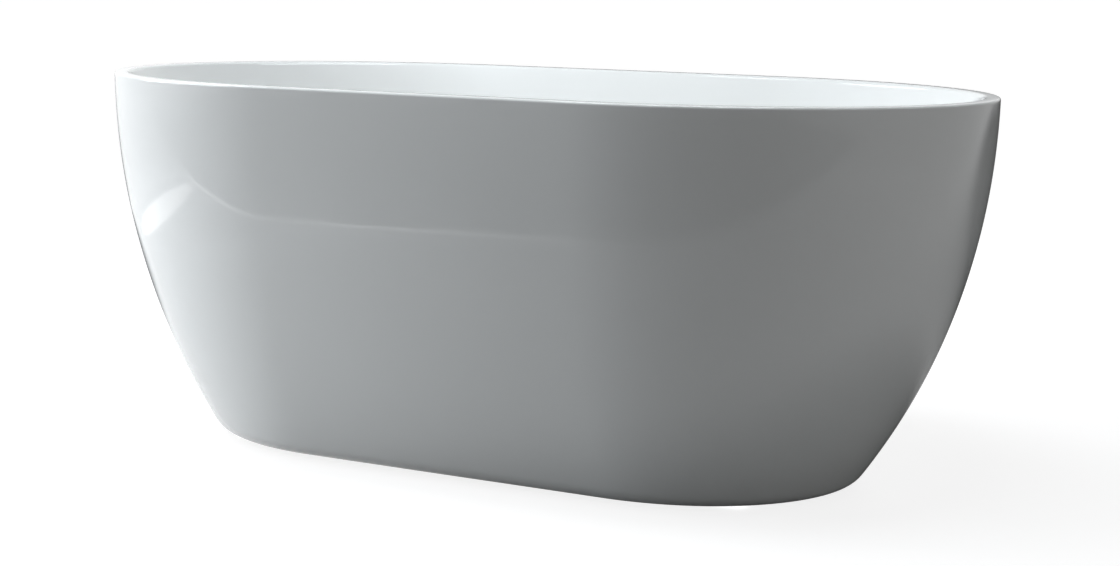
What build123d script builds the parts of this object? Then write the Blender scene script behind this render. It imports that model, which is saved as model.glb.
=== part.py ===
from build123d import *
from math import asin, atan, cos, pi, sin, sqrt, tan
import os

# A freestanding oval bathtub: an acrylic basin inside an acrylic skirt, on a steel frame with
# four levelling feet, a click waste in the floor and an overflow in the back wall.
# Millimetres. The origin is on the floor under the middle of the tub, X runs along its length,
# the overflow is on the +Y side and Z is up.

# Whole tub
length = 1500.0
width = 750.0
height = 600.0
straight_side = 525.0  # straight middle of each long side, the same at every height
floor_gap = 6.0  # between the skirt and the floor

# Skirt
skirt_wall = 4.0
end_tuck = 196.0  # how far each end draws in from the rim to the foot
side_tuck = 120.0  # how far each long side draws in
foot_round = 38.0
foot_flange = 25.0  # flat return under the skirt, inside its rounded foot
top_flange = 14.0  # flat return at the top that carries the rim
skirt_levels = 6

# Basin
rim_thick = 6.0
rim_width = 24.0
rim_round = 4.0  # outer edge of the rim
rim_lip_round = 9.0  # inner edge of the rim
bond_thick = 1.0  # adhesive between rim and skirt
bond_setback = 1.5
basin_wall = 5.0
basin_depth = 450.0
basin_floor = 6.0
end_lean = 228.0  # how far each inner end wall slopes in, rim to floor
side_lean = 128.0
floor_round = 80.0
sump_depth = 5.0
sump_slope = 6.0
sump_margin = 5.0  # flat ring of the sump outside the waste flange
sump_wall = 9.0

# Base board and steel frame
board_thick = 15.0
board_margin = 8.0
board_hole_clear = 5.0
rail_size = 30.0
rail_wall = 2.0
rail_corner = 3.0
rail_overhang = 40.0  # rail past each foot
cross_tube_inset = 50.0  # from the foot to the cross tube
screw_radius = 2.4
screw_clear = 0.2
screw_head_radius = 5.0
screw_head = 3.5
board_screw_bite = 12.0
board_screw_inset = 20.0  # outer board screws, from the end of the straight side
access_radius = 6.5
bracket_width = 30.0
bracket_thick = 3.0
bracket_inset = 60.0  # from the end of the straight side
bracket_setback = 6.0  # bracket tab from the skirt's rounded foot
bracket_top_gap = 4.0
rail_screw_reach = 6.0

# Levelling feet
sole_radius = 26.0
sole_thick = 3.0
pad_radius = 28.0
pad_thick = 6.0
boss_radius = 11.0
boss_height = 10.0
foot_clear = 10.0  # between a pad and the skirt's foot flange
stud_radius = 5.0
stud_clear = 0.3
stud_reach = 18.0  # stud above the underside of the rail
socket_floor = 4.0
nut_width = 17.0  # across flats
collar_thick = 6.0
weld_nut_thick = 8.0
lock_nut_thick = 6.0
stud_hole_clear = 1.0

# Waste
waste_hole_radius = 25.0
thread_clear = 0.2
tail_slack = 1.5  # tail inside the basin's hole
tail_wall = 4.0
tail_length = 41.0
waste_lip = 11.0  # flange outside the basin's hole
waste_lip_thick = 3.0
waste_lip_round = 1.0
dish_rim = 4.0
dish_depth = 2.0
top_seal_thick = 1.5
bottom_seal_thick = 4.0
seal_setback = 2.0
body_flange_thick = 4.0
body_wall = 4.0
chamber_shoulder = 2.0
outlet_radius = 20.0
outlet_wall = 3.0
outlet_length = 38.0
stop_depth = 20.0  # how far the pipe enters a spigot

# Stopper
stopper_clear = 0.5  # cap above the flange
cap_setback = 5.0
cap_edge = 1.2
cap_crown = 5.0
stopper_seal_inner = 21.0
stopper_seal_outer = 25.0
stopper_seal_thick = 1.3
stem_radius = 8.0
stem_bore = 5.8
stem_length = 34.0
stem_top = 6.0
stem_clear = 0.3
guide_wall = 2.5
guide_floor = 3.0
guide_length = 26.0
guide_foot = 7.0  # free length below the stem at rest
guide_ring = 2.4
guide_ring_height = 8.0
guide_arms = 3
guide_arm = 3.0
spring_radius = 4.8
spring_bore = 3.6

# Overflow
overflow_drop = 105.0  # rim to the middle of the overflow
overflow_hole_radius = 20.3
insert_slack = 0.3
insert_wall = 3.0
insert_lip = 6.0
insert_lip_thick = 2.5
insert_tail = 8.0  # past the seal, inside the overflow body
bridge_width = 6.0
bridge_depth = 5.0
hub_radius = 6.0
post_radius = 3.0
post_clear = 0.1
cover_radius = 33.0
cover_height = 10.0
cover_thick = 3.0
cover_wall = 2.5
cover_round = 1.5
cover_gap = 0.3
cover_slot = 40.0
overflow_seal_thick = 2.0
overflow_seal_width = 7.5
overflow_body_radius = 28.0
overflow_body_wall = 3.0
overflow_clear = 4.0  # between the overflow body and the skirt

# Overflow pipe and its joints
pipe_radius = 12.5
pipe_wall = 2.0
pipe_clear = 0.2
pipe_bend = 60.0
pipe_under_rail = 6.0
spigot_wall = 2.3
spigot_drop = 60.0  # overflow centre down to the end of its spigot
spigot_rise = 40.0  # length of that spigot
inlet_spigot = 36.0  # inlet spigot past the waste body
pipe_low_rise = 30.0  # above the basin floor, where the pipe is centred in the gap again
pipe_seal_thick = 4.0
pipe_nut_wall = 2.7
pipe_nut_grip = 14.0
pipe_nut_lip = 4.0
pipe_nut_sides = 12

# Levels, from the rim down
rim_under = height - rim_thick
skirt_top = rim_under - bond_thick
floor_top = height - basin_depth
floor_under = floor_top - basin_floor
board_under = floor_under - board_thick
rail_under = board_under - rail_size
rail_middle = board_under - rail_size / 2
flange_top = floor_gap + skirt_wall

# Slopes of the basin's walls, from upright
end_angle = atan(end_lean / basin_depth)
side_angle = atan(side_lean / basin_depth)
half_straight = straight_side / 2


def skirt_bow(tuck):
    """Radius of the arc that the skirt's wall follows, upright at the rim."""
    reach = height - floor_gap
    return (tuck**2 + reach**2) / (2 * tuck)


def skirt_half(z, inset=0.0):
    """Half length and half width of the skirt at a height."""
    drop = height - z
    ends, sides = (
        skirt_bow(tuck) - sqrt(skirt_bow(tuck) ** 2 - drop**2) for tuck in (end_tuck, side_tuck)
    )
    return length / 2 - ends - inset, width / 2 - sides - inset


def foot_half(tuck, half_size):
    """Half size of the skirt's flat foot, inside its rounded edge."""
    slope = asin((height - floor_gap) / skirt_bow(tuck))
    return half_size - tuck - foot_round * tan(pi / 4 - slope / 2)


def well_half(z, wall=0.0):
    """Half length and half width of the basin's inside at a height, or of its back with a wall."""
    share = (height - z) / basin_depth
    half_length = length / 2 - rim_width - end_lean * share + wall / cos(end_angle)
    half_width = width / 2 - rim_width - side_lean * share + wall / cos(side_angle)
    return half_length, half_width


def oval(half_length, half_width):
    """The tub's outline: straight sides with half an ellipse at each end."""
    end = half_length - half_straight
    with BuildSketch() as outline:
        with BuildLine():
            Line((-half_straight, -half_width), (half_straight, -half_width))
            EllipticalCenterArc((half_straight, 0), end, half_width, start_angle=-90, arc_size=90)
            EllipticalCenterArc((half_straight, 0), end, half_width, start_angle=0, arc_size=90)
            Line((half_straight, half_width), (-half_straight, half_width))
            EllipticalCenterArc((-half_straight, 0), end, half_width, start_angle=90, arc_size=90)
            EllipticalCenterArc((-half_straight, 0), end, half_width, start_angle=180, arc_size=90)
        make_face()
    return outline.sketch_local


os.makedirs("parts", exist_ok=True)

# Skirt
foot_length = foot_half(end_tuck, length / 2)
foot_width = foot_half(side_tuck, width / 2)
opening_length = foot_length - foot_flange
opening_width = foot_width - foot_flange
bracket_x = half_straight - bracket_inset
bracket_end = foot_width - bracket_setback
bracket_screw_y = (opening_width + bracket_end) / 2
bracket_places = [(x, y) for x in (-bracket_x, bracket_x) for y in (-1, 1)]

with BuildPart() as skirt_form:
    for level in range(skirt_levels + 1):
        z = floor_gap + (skirt_top - floor_gap) * level / skirt_levels
        with BuildSketch(Plane.XY.offset(z)):
            add(oval(*skirt_half(z)))
    loft()
    fillet(skirt_form.faces().sort_by(Axis.Z)[0].edges(), radius=foot_round)

with BuildPart() as skirt_hollow:
    for level in range(skirt_levels + 1):
        z = flange_top + (skirt_top - skirt_wall - flange_top) * level / skirt_levels
        with BuildSketch(Plane.XY.offset(z)):
            add(oval(*skirt_half(z, skirt_wall)))
    loft()
    fillet(skirt_hollow.faces().sort_by(Axis.Z)[0].edges(), radius=foot_round - skirt_wall)

with BuildPart() as skirt:
    add(skirt_form.part)
    add(skirt_hollow.part, mode=Mode.SUBTRACT)
    with BuildSketch(Plane.XY.offset(skirt_top)):
        add(oval(*skirt_half(skirt_top, skirt_wall + top_flange)))
    extrude(amount=-skirt_wall, mode=Mode.SUBTRACT)
    with BuildSketch(Plane.XY.offset(floor_gap)):
        add(oval(opening_length, opening_width))
        with Locations([(x, side * bracket_screw_y) for x, side in bracket_places]):
            Circle(screw_radius + screw_clear)
    extrude(amount=skirt_wall, mode=Mode.SUBTRACT)
skirt.part.label = "skirt"
export_step(skirt.part, "parts/skirt.step")

# Adhesive between the rim and the skirt's top flange
with BuildPart() as rim_bond:
    with BuildSketch(Plane.XY.offset(skirt_top)):
        add(oval(*skirt_half(skirt_top, bond_setback)))
        add(oval(*skirt_half(skirt_top, skirt_wall + top_flange)), mode=Mode.SUBTRACT)
    extrude(amount=bond_thick)
rim_bond.part.label = "rim_bond"
export_step(rim_bond.part, "parts/rim_bond.step")

# Basin
waste_flange_radius = waste_hole_radius + waste_lip
sump_radius = waste_flange_radius + sump_margin
sump_floor = floor_top - sump_depth
sump_back_radius = sump_radius + sump_wall
sump_under = floor_under - sump_depth
overflow_z = height - overflow_drop
overflow_y = well_half(overflow_z)[1]
into_basin = (0, -cos(side_angle), sin(side_angle))
overflow_seat = Plane(origin=(0, overflow_y, overflow_z), x_dir=(1, 0, 0), z_dir=into_basin)
overflow_back = overflow_seat.offset(-basin_wall)

with BuildPart() as basin_well:
    for z in (floor_top, height):
        with BuildSketch(Plane.XY.offset(z)):
            add(oval(*well_half(z)))
    loft(ruled=True)
    fillet(basin_well.faces().sort_by(Axis.Z)[0].edges(), radius=floor_round)

with BuildPart() as basin_back:
    for z in (floor_under, rim_under):
        with BuildSketch(Plane.XY.offset(z)):
            add(oval(*well_half(z, basin_wall)))
    loft(ruled=True)
    fillet(basin_back.faces().sort_by(Axis.Z)[0].edges(), radius=floor_round + basin_wall)

with BuildPart() as basin:
    with BuildSketch(Plane.XY.offset(rim_under)):
        add(oval(length / 2, width / 2))
    extrude(amount=rim_thick)
    fillet(basin.faces().sort_by(Axis.Z)[-1].edges(), radius=rim_round)
    add(basin_back.part)
    with BuildSketch(Plane.XY.offset(sump_under)):
        Circle(sump_back_radius)
    extrude(amount=sump_depth + basin_floor)
    add(basin_well.part, mode=Mode.SUBTRACT)
    fillet(basin.faces().sort_by(Axis.Z)[-1].inner_wires()[0].edges(), radius=rim_lip_round)
    with BuildSketch(Plane.XZ):
        with BuildLine():
            Polyline(
                (0, sump_floor),
                (sump_radius, sump_floor),
                (sump_radius + sump_slope, floor_top),
                (0, floor_top),
                close=True,
            )
        make_face()
    revolve(axis=Axis.Z, mode=Mode.SUBTRACT)
    with BuildSketch(Plane.XY.offset(sump_under)):
        Circle(waste_hole_radius)
    extrude(amount=basin_floor, mode=Mode.SUBTRACT)
    with BuildSketch(overflow_back):
        Circle(overflow_hole_radius)
    extrude(amount=basin_wall, mode=Mode.SUBTRACT)
basin.part.label = "basin"
export_step(basin.part, "parts/basin.step")

# Base board, bonded to the underside of the basin's floor
board_length = (
    well_half(floor_under, basin_wall)[0]
    - (floor_round + basin_wall) * tan(pi / 4 - end_angle / 2)
    - board_margin
)
board_width = (
    well_half(floor_under, basin_wall)[1]
    - (floor_round + basin_wall) * tan(pi / 4 - side_angle / 2)
    - board_margin
)
rail_y = min(board_width - rail_size / 2, opening_width - pad_radius - foot_clear)
pad_edge = (rail_y + pad_radius + foot_clear) / opening_width
foot_x = half_straight + (opening_length - half_straight) * sqrt(1 - pad_edge**2)
foot_x -= foot_clear
rail_half = foot_x + rail_overhang
cross_tube_x = foot_x - cross_tube_inset
board_screw_x = half_straight - board_screw_inset
board_screw_places = [
    (x, side * rail_y) for x in (-board_screw_x, 0, board_screw_x) for side in (-1, 1)
]

with BuildPart() as base_board:
    with BuildSketch(Plane.XY.offset(board_under)):
        add(oval(board_length, board_width))
        Circle(sump_back_radius + board_hole_clear, mode=Mode.SUBTRACT)
    extrude(amount=board_thick)
    with BuildSketch(Plane.XY.offset(board_under)):
        with Locations(board_screw_places):
            Circle(screw_radius)
    extrude(amount=board_screw_bite, mode=Mode.SUBTRACT)
base_board.part.label = "base_board"
export_step(base_board.part, "parts/base_board.step")

# Steel rails along the tub, with holes for the screws and the feet
for name, side in (("front_rail", -1), ("back_rail", 1)):
    with BuildPart() as rail:
        with BuildSketch(Plane.YZ.offset(-rail_half)):
            with Locations((side * rail_y, rail_middle)):
                RectangleRounded(rail_size, rail_size, rail_corner)
                inside = rail_size - 2 * rail_wall
                RectangleRounded(inside, inside, rail_corner - rail_wall, mode=Mode.SUBTRACT)
        extrude(amount=2 * rail_half)
        with BuildSketch(Plane.XY.offset(rail_under)):
            with Locations((-foot_x, side * rail_y), (foot_x, side * rail_y)):
                Circle(stud_radius + stud_hole_clear)
            with Locations([place for place in board_screw_places if place[1] * side > 0]):
                Circle(access_radius)
        extrude(amount=rail_wall, mode=Mode.SUBTRACT)
        with BuildSketch(Plane.XY.offset(board_under)):
            with Locations([place for place in board_screw_places if place[1] * side > 0]):
                Circle(screw_radius + screw_clear)
        extrude(amount=-rail_wall, mode=Mode.SUBTRACT)
        with BuildSketch(Plane.XZ.offset(-side * (rail_y + rail_size / 2))):
            with Locations((-bracket_x, rail_middle), (bracket_x, rail_middle)):
                Circle(screw_radius)
        extrude(amount=side * rail_wall, mode=Mode.SUBTRACT)
    rail.part.label = name
    export_step(rail.part, f"parts/{name}.step")

# Cross tubes welded between the rails
for name, side in (("left_cross_tube", -1), ("right_cross_tube", 1)):
    span = 2 * rail_y - rail_size
    with BuildPart() as cross_tube:
        with BuildSketch(Plane.XZ.offset(-span / 2)):
            with Locations((side * cross_tube_x, rail_middle)):
                RectangleRounded(rail_size, rail_size, rail_corner)
                inside = rail_size - 2 * rail_wall
                RectangleRounded(inside, inside, rail_corner - rail_wall, mode=Mode.SUBTRACT)
        extrude(amount=span)
    cross_tube.part.label = name
    export_step(cross_tube.part, f"parts/{name}.step")

# Screws up through the rails into the base board
with BuildPart() as board_screws:
    with BuildSketch(Plane.XY.offset(board_under - rail_wall)):
        with Locations(board_screw_places):
            Circle(screw_head_radius)
    extrude(amount=-screw_head)
    with BuildSketch(Plane.XY.offset(board_under - rail_wall)):
        with Locations(board_screw_places):
            Circle(screw_radius)
    extrude(amount=rail_wall + board_screw_bite)
board_screws.part.label = "board_screws"
export_step(board_screws.part, "parts/board_screws.step")

# Angle brackets from the rails to the skirt's foot flange
for x, side in bracket_places:
    name = f"skirt_bracket_{'front' if side < 0 else 'back'}_{'left' if x < 0 else 'right'}"
    rail_face = rail_y + rail_size / 2
    with BuildPart() as bracket:
        with BuildSketch(Plane.YZ.offset(x - bracket_width / 2)):
            with BuildLine():
                Polyline(
                    (side * rail_face, flange_top),
                    (side * bracket_end, flange_top),
                    (side * bracket_end, flange_top + bracket_thick),
                    (side * (rail_face + bracket_thick), flange_top + bracket_thick),
                    (side * (rail_face + bracket_thick), board_under - bracket_top_gap),
                    (side * rail_face, board_under - bracket_top_gap),
                    close=True,
                )
            make_face()
        extrude(amount=bracket_width)
        with BuildSketch(Plane.XY.offset(flange_top)):
            with Locations((x, side * bracket_screw_y)):
                Circle(screw_radius)
        extrude(amount=bracket_thick, mode=Mode.SUBTRACT)
        with BuildSketch(Plane.XZ.offset(-side * rail_face)):
            with Locations((x, rail_middle)):
                Circle(screw_radius + screw_clear)
        extrude(amount=-side * bracket_thick, mode=Mode.SUBTRACT)
    bracket.part.label = name
    export_step(bracket.part, f"parts/{name}.step")

with BuildPart() as bracket_rail_screws:
    for x, side in bracket_places:
        outside = Plane.XZ.offset(-side * (rail_y + rail_size / 2 + bracket_thick))
        with BuildSketch(outside):
            with Locations((x, rail_middle)):
                Circle(screw_head_radius)
        extrude(amount=-side * screw_head)
        with BuildSketch(outside):
            with Locations((x, rail_middle)):
                Circle(screw_radius)
        extrude(amount=side * (bracket_thick + rail_wall + rail_screw_reach))
bracket_rail_screws.part.label = "bracket_rail_screws"
export_step(bracket_rail_screws.part, "parts/bracket_rail_screws.step")

with BuildPart() as bracket_foot_screws:
    with BuildSketch(Plane.XY.offset(flange_top + bracket_thick)):
        with Locations([(x, side * bracket_screw_y) for x, side in bracket_places]):
            Circle(screw_head_radius)
    extrude(amount=screw_head)
    with BuildSketch(Plane.XY.offset(flange_top + bracket_thick)):
        with Locations([(x, side * bracket_screw_y) for x, side in bracket_places]):
            Circle(screw_radius)
    extrude(amount=-bracket_thick - skirt_wall)
bracket_foot_screws.part.label = "bracket_foot_screws"
export_step(bracket_foot_screws.part, "parts/bracket_foot_screws.step")

# Levelling feet: a rubber sole on a pad, and a stud that turns in the pad and in the weld nut
foot_places = [(x, y) for x in (-foot_x, foot_x) for y in (-rail_y, rail_y)]
pad_top = sole_thick + pad_thick
boss_top = pad_top + boss_height
socket_bottom = sole_thick + socket_floor

for x, y in foot_places:
    corner = f"{'front' if y < 0 else 'back'}_{'left' if x < 0 else 'right'}"
    with BuildPart() as foot_sole:
        with BuildSketch(Plane.XY):
            with Locations((x, y)):
                Circle(sole_radius)
        extrude(amount=sole_thick)
    foot_sole.part.label = f"foot_sole_{corner}"
    export_step(foot_sole.part, f"parts/foot_sole_{corner}.step")

    with BuildPart() as foot_pad:
        with BuildSketch(Plane.XY.offset(sole_thick)):
            with Locations((x, y)):
                Circle(pad_radius)
        extrude(amount=pad_thick)
        with BuildSketch(Plane.XY.offset(pad_top)):
            with Locations((x, y)):
                Circle(boss_radius)
        extrude(amount=boss_height)
        with BuildSketch(Plane.XY.offset(socket_bottom)):
            with Locations((x, y)):
                Circle(stud_radius + stud_clear)
        extrude(amount=boss_top - socket_bottom, mode=Mode.SUBTRACT)
    foot_pad.part.label = f"foot_pad_{corner}"
    export_step(foot_pad.part, f"parts/foot_pad_{corner}.step")

    with BuildPart() as foot_stud:
        with BuildSketch(Plane.XY.offset(socket_bottom + stud_clear)):
            with Locations((x, y)):
                Circle(stud_radius)
        extrude(amount=rail_under + stud_reach - socket_bottom - stud_clear)
        with BuildSketch(Plane.XY.offset(boss_top + stud_clear)):
            with Locations((x, y)):
                RegularPolygon(nut_width / 2, 6, major_radius=False)
        extrude(amount=collar_thick)
    foot_stud.part.label = f"foot_stud_{corner}"
    export_step(foot_stud.part, f"parts/foot_stud_{corner}.step")

with BuildPart() as foot_weld_nuts:
    with BuildSketch(Plane.XY.offset(rail_under)):
        with Locations(foot_places):
            RegularPolygon(nut_width / 2, 6, major_radius=False)
            Circle(stud_radius + stud_clear, mode=Mode.SUBTRACT)
    extrude(amount=-weld_nut_thick)
foot_weld_nuts.part.label = "foot_weld_nuts"
export_step(foot_weld_nuts.part, "parts/foot_weld_nuts.step")

with BuildPart() as foot_lock_nuts:
    with BuildSketch(Plane.XY.offset(rail_under - weld_nut_thick)):
        with Locations(foot_places):
            RegularPolygon(nut_width / 2, 6, major_radius=False)
            Circle(stud_radius + stud_clear, mode=Mode.SUBTRACT)
    extrude(amount=-lock_nut_thick)
foot_lock_nuts.part.label = "foot_lock_nuts"
export_step(foot_lock_nuts.part, "parts/foot_lock_nuts.step")

# Waste flange, a dished ring in the sump with a tail through the basin's floor
lip_under = sump_floor + top_seal_thick
lip_top = lip_under + waste_lip_thick
tail_radius = waste_hole_radius - tail_slack
tail_bore = tail_radius - tail_wall
tail_end = lip_under - tail_length
dish_radius = waste_flange_radius - dish_rim

with BuildPart() as waste_flange:
    with BuildSketch(Plane.XZ):
        with BuildLine():
            Polyline(
                (tail_bore, tail_end),
                (tail_radius, tail_end),
                (tail_radius, lip_under),
                (waste_flange_radius, lip_under),
                (waste_flange_radius, lip_top - waste_lip_round),
            )
            RadiusArc(
                (waste_flange_radius, lip_top - waste_lip_round),
                (waste_flange_radius - waste_lip_round, lip_top),
                -waste_lip_round,
            )
            Polyline(
                (waste_flange_radius - waste_lip_round, lip_top),
                (dish_radius, lip_top),
                (tail_bore, lip_top - dish_depth),
                (tail_bore, tail_end),
            )
        make_face()
    revolve(axis=Axis.Z)
waste_flange.part.label = "waste_flange"
export_step(waste_flange.part, "parts/waste_flange.step")

with BuildPart() as waste_top_seal:
    with BuildSketch(Plane.XY.offset(sump_floor)):
        Circle(waste_flange_radius - seal_setback)
        Circle(waste_hole_radius, mode=Mode.SUBTRACT)
    extrude(amount=top_seal_thick)
waste_top_seal.part.label = "waste_top_seal"
export_step(waste_top_seal.part, "parts/waste_top_seal.step")

with BuildPart() as waste_bottom_seal:
    with BuildSketch(Plane.XY.offset(sump_under)):
        Circle(waste_flange_radius - seal_setback)
        Circle(waste_hole_radius, mode=Mode.SUBTRACT)
    extrude(amount=-bottom_seal_thick)
waste_bottom_seal.part.label = "waste_bottom_seal"
export_step(waste_bottom_seal.part, "parts/waste_bottom_seal.step")

# Waste body: a tee with a socket for the tail, an inlet from the overflow and an outlet tail
body_top = sump_under - bottom_seal_thick
body_bore = tail_radius + thread_clear
body_radius = body_bore + body_wall
chamber_radius = body_bore - chamber_shoulder
pipe_z = rail_under - pipe_under_rail - pipe_radius
spigot_bore = pipe_radius + pipe_clear
spigot_radius = spigot_bore + spigot_wall
pipe_bore = pipe_radius - pipe_wall
chamber_floor = pipe_z - spigot_radius
inlet_end = body_radius + inlet_spigot

with BuildPart() as waste_body:
    with BuildSketch(Plane.XY.offset(body_top)):
        Circle(waste_flange_radius)
    extrude(amount=-body_flange_thick)
    with BuildSketch(Plane.XY.offset(body_top)):
        Circle(body_radius)
    extrude(amount=chamber_floor - body_wall - body_top)
    with BuildSketch(Plane.XY.offset(chamber_floor - body_wall)):
        Circle(outlet_radius)
    extrude(amount=-outlet_length)
    with BuildSketch(Plane.XZ.offset(-inlet_end)):
        with Locations((0, pipe_z)):
            Circle(spigot_radius)
    extrude(amount=inlet_end)
    with BuildSketch(Plane.XY.offset(body_top)):
        Circle(body_bore)
    extrude(amount=tail_end - body_top, mode=Mode.SUBTRACT)
    with BuildSketch(Plane.XY.offset(tail_end)):
        Circle(chamber_radius)
    extrude(amount=chamber_floor - tail_end, mode=Mode.SUBTRACT)
    with BuildSketch(Plane.XY.offset(chamber_floor)):
        Circle(outlet_radius - outlet_wall)
    extrude(amount=-body_wall - outlet_length, mode=Mode.SUBTRACT)
    with BuildSketch(Plane.XZ.offset(-inlet_end)):
        with Locations((0, pipe_z)):
            Circle(spigot_bore)
    extrude(amount=stop_depth, mode=Mode.SUBTRACT)
    with BuildSketch(Plane.XZ.offset(-inlet_end)):
        with Locations((0, pipe_z)):
            Circle(pipe_bore)
    extrude(amount=inlet_end, mode=Mode.SUBTRACT)
waste_body.part.label = "waste_body"
export_step(waste_body.part, "parts/waste_body.step")

# Click stopper: a domed cap with a seal under it, on a hollow stem
cap_radius = waste_flange_radius - cap_setback
cap_under = lip_top + stopper_clear

with BuildPart() as stopper_cap:
    with BuildSketch(Plane.XZ):
        with BuildLine():
            Polyline((0, cap_under + cap_crown), (0, cap_under), (cap_radius, cap_under))
            Line((cap_radius, cap_under), (cap_radius, cap_under + cap_edge))
            dome_rise = cap_crown - cap_edge
            dome_radius = (cap_radius**2 + dome_rise**2) / (2 * dome_rise)
            dome_turn = asin(cap_radius / 2 / dome_radius)
            dome_shoulder = cap_under + cap_crown - dome_radius * (1 - cos(dome_turn))
            ThreePointArc(
                (cap_radius, cap_under + cap_edge),
                (cap_radius / 2, dome_shoulder),
                (0, cap_under + cap_crown),
            )
        make_face()
    revolve(axis=Axis.Z)
stopper_cap.part.label = "stopper_cap"
export_step(stopper_cap.part, "parts/stopper_cap.step")

with BuildPart() as stopper_seal:
    with BuildSketch(Plane.XY.offset(cap_under)):
        Circle(stopper_seal_outer)
        Circle(stopper_seal_inner, mode=Mode.SUBTRACT)
    extrude(amount=-stopper_seal_thick)
stopper_seal.part.label = "stopper_seal"
export_step(stopper_seal.part, "parts/stopper_seal.step")

stem_end = cap_under - stem_length
with BuildPart() as stopper_stem:
    with BuildSketch(Plane.XY.offset(stem_end)):
        Circle(stem_radius)
    extrude(amount=stem_length)
    with BuildSketch(Plane.XY.offset(stem_end)):
        Circle(stem_bore)
    extrude(amount=stem_length - stem_top, mode=Mode.SUBTRACT)
stopper_stem.part.label = "stopper_stem"
export_step(stopper_stem.part, "parts/stopper_stem.step")

# Guide for the stem: a tube on arms inside a ring in the waste flange's tail
guide_bore = stem_radius + stem_clear
guide_radius = guide_bore + guide_wall
guide_bottom = stem_end - guide_foot - guide_floor
ring_radius = tail_bore - thread_clear
ring_bore = ring_radius - guide_ring
ring_bottom = max(guide_bottom, tail_end)

with BuildPart() as stopper_guide:
    with BuildSketch(Plane.XY.offset(ring_bottom)):
        Circle(ring_radius)
        Circle(ring_bore, mode=Mode.SUBTRACT)
        with PolarLocations(0, guide_arms):
            with Locations(((guide_radius + ring_bore) / 2, 0)):
                Rectangle(ring_bore - guide_radius + guide_wall, guide_arm)
    extrude(amount=guide_ring_height)
    with BuildSketch(Plane.XY.offset(guide_bottom)):
        Circle(guide_radius)
    extrude(amount=guide_length)
    with BuildSketch(Plane.XY.offset(guide_bottom + guide_floor)):
        Circle(guide_bore)
    extrude(amount=guide_length - guide_floor, mode=Mode.SUBTRACT)
stopper_guide.part.label = "stopper_guide"
export_step(stopper_guide.part, "parts/stopper_guide.step")

with BuildPart() as stopper_spring:
    with BuildSketch(Plane.XY.offset(guide_bottom + guide_floor)):
        Circle(spring_radius)
        Circle(spring_bore, mode=Mode.SUBTRACT)
    extrude(amount=cap_under - stem_top - guide_bottom - guide_floor)
stopper_spring.part.label = "stopper_spring"
export_step(stopper_spring.part, "parts/stopper_spring.step")

# Overflow insert: a lipped tube through the basin's wall with a bridge that holds the cover
insert_radius = overflow_hole_radius - insert_slack
insert_bore = insert_radius - insert_wall
insert_end = basin_wall + overflow_seal_thick + insert_tail

with BuildPart() as overflow_insert:
    with BuildSketch(overflow_seat):
        Circle(overflow_hole_radius + insert_lip)
    extrude(amount=insert_lip_thick)
    with BuildSketch(overflow_seat):
        Circle(insert_radius)
    extrude(amount=-insert_end)
    with BuildSketch(overflow_seat.offset(insert_lip_thick)):
        Circle(insert_bore)
        Rectangle(2 * insert_radius, bridge_width, mode=Mode.SUBTRACT)
        Circle(hub_radius, mode=Mode.SUBTRACT)
    extrude(amount=-insert_lip_thick - insert_end, mode=Mode.SUBTRACT)
    with BuildSketch(overflow_seat.offset(-bridge_depth)):
        Circle(insert_bore)
    extrude(amount=bridge_depth - insert_end, mode=Mode.SUBTRACT)
    with BuildSketch(overflow_seat.offset(insert_lip_thick)):
        Circle(post_radius + post_clear)
    extrude(amount=-insert_lip_thick - bridge_depth, mode=Mode.SUBTRACT)
overflow_insert.part.label = "overflow_insert"
export_step(overflow_insert.part, "parts/overflow_insert.step")

# Overflow cover: a shallow cup over the insert, open along its lower edge
with BuildPart() as overflow_cover:
    with BuildSketch(overflow_seat.offset(cover_gap)):
        Circle(cover_radius)
    extrude(amount=cover_height - cover_gap)
    fillet(overflow_cover.faces().sort_by(Axis(overflow_seat.origin, overflow_seat.z_dir))[-1].edges(),
           radius=cover_round)
    with BuildSketch(overflow_seat.offset(cover_gap)):
        Circle(cover_radius - cover_wall)
    extrude(amount=cover_height - cover_thick - cover_gap, mode=Mode.SUBTRACT)
    with BuildSketch(overflow_seat.offset(cover_gap)):
        with Locations((0, -cover_radius / 2)):
            Rectangle(cover_slot, cover_radius)
    extrude(amount=cover_height - cover_thick - cover_gap, mode=Mode.SUBTRACT)
    with BuildSketch(overflow_seat.offset(cover_height - cover_thick)):
        Circle(post_radius)
    extrude(amount=cover_thick - cover_height - bridge_depth)
overflow_cover.part.label = "overflow_cover"
export_step(overflow_cover.part, "parts/overflow_cover.step")

with BuildPart() as overflow_seal:
    with BuildSketch(overflow_back):
        Circle(overflow_hole_radius + overflow_seal_width)
        Circle(overflow_hole_radius, mode=Mode.SUBTRACT)
    extrude(amount=-overflow_seal_thick)
overflow_seal.part.label = "overflow_seal"
export_step(overflow_seal.part, "parts/overflow_seal.step")


def gap_middle(z):
    """The middle of the space between the basin's back and the skirt, at the long side."""
    return (well_half(z, basin_wall)[1] + skirt_half(z, skirt_wall)[1]) / 2


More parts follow.
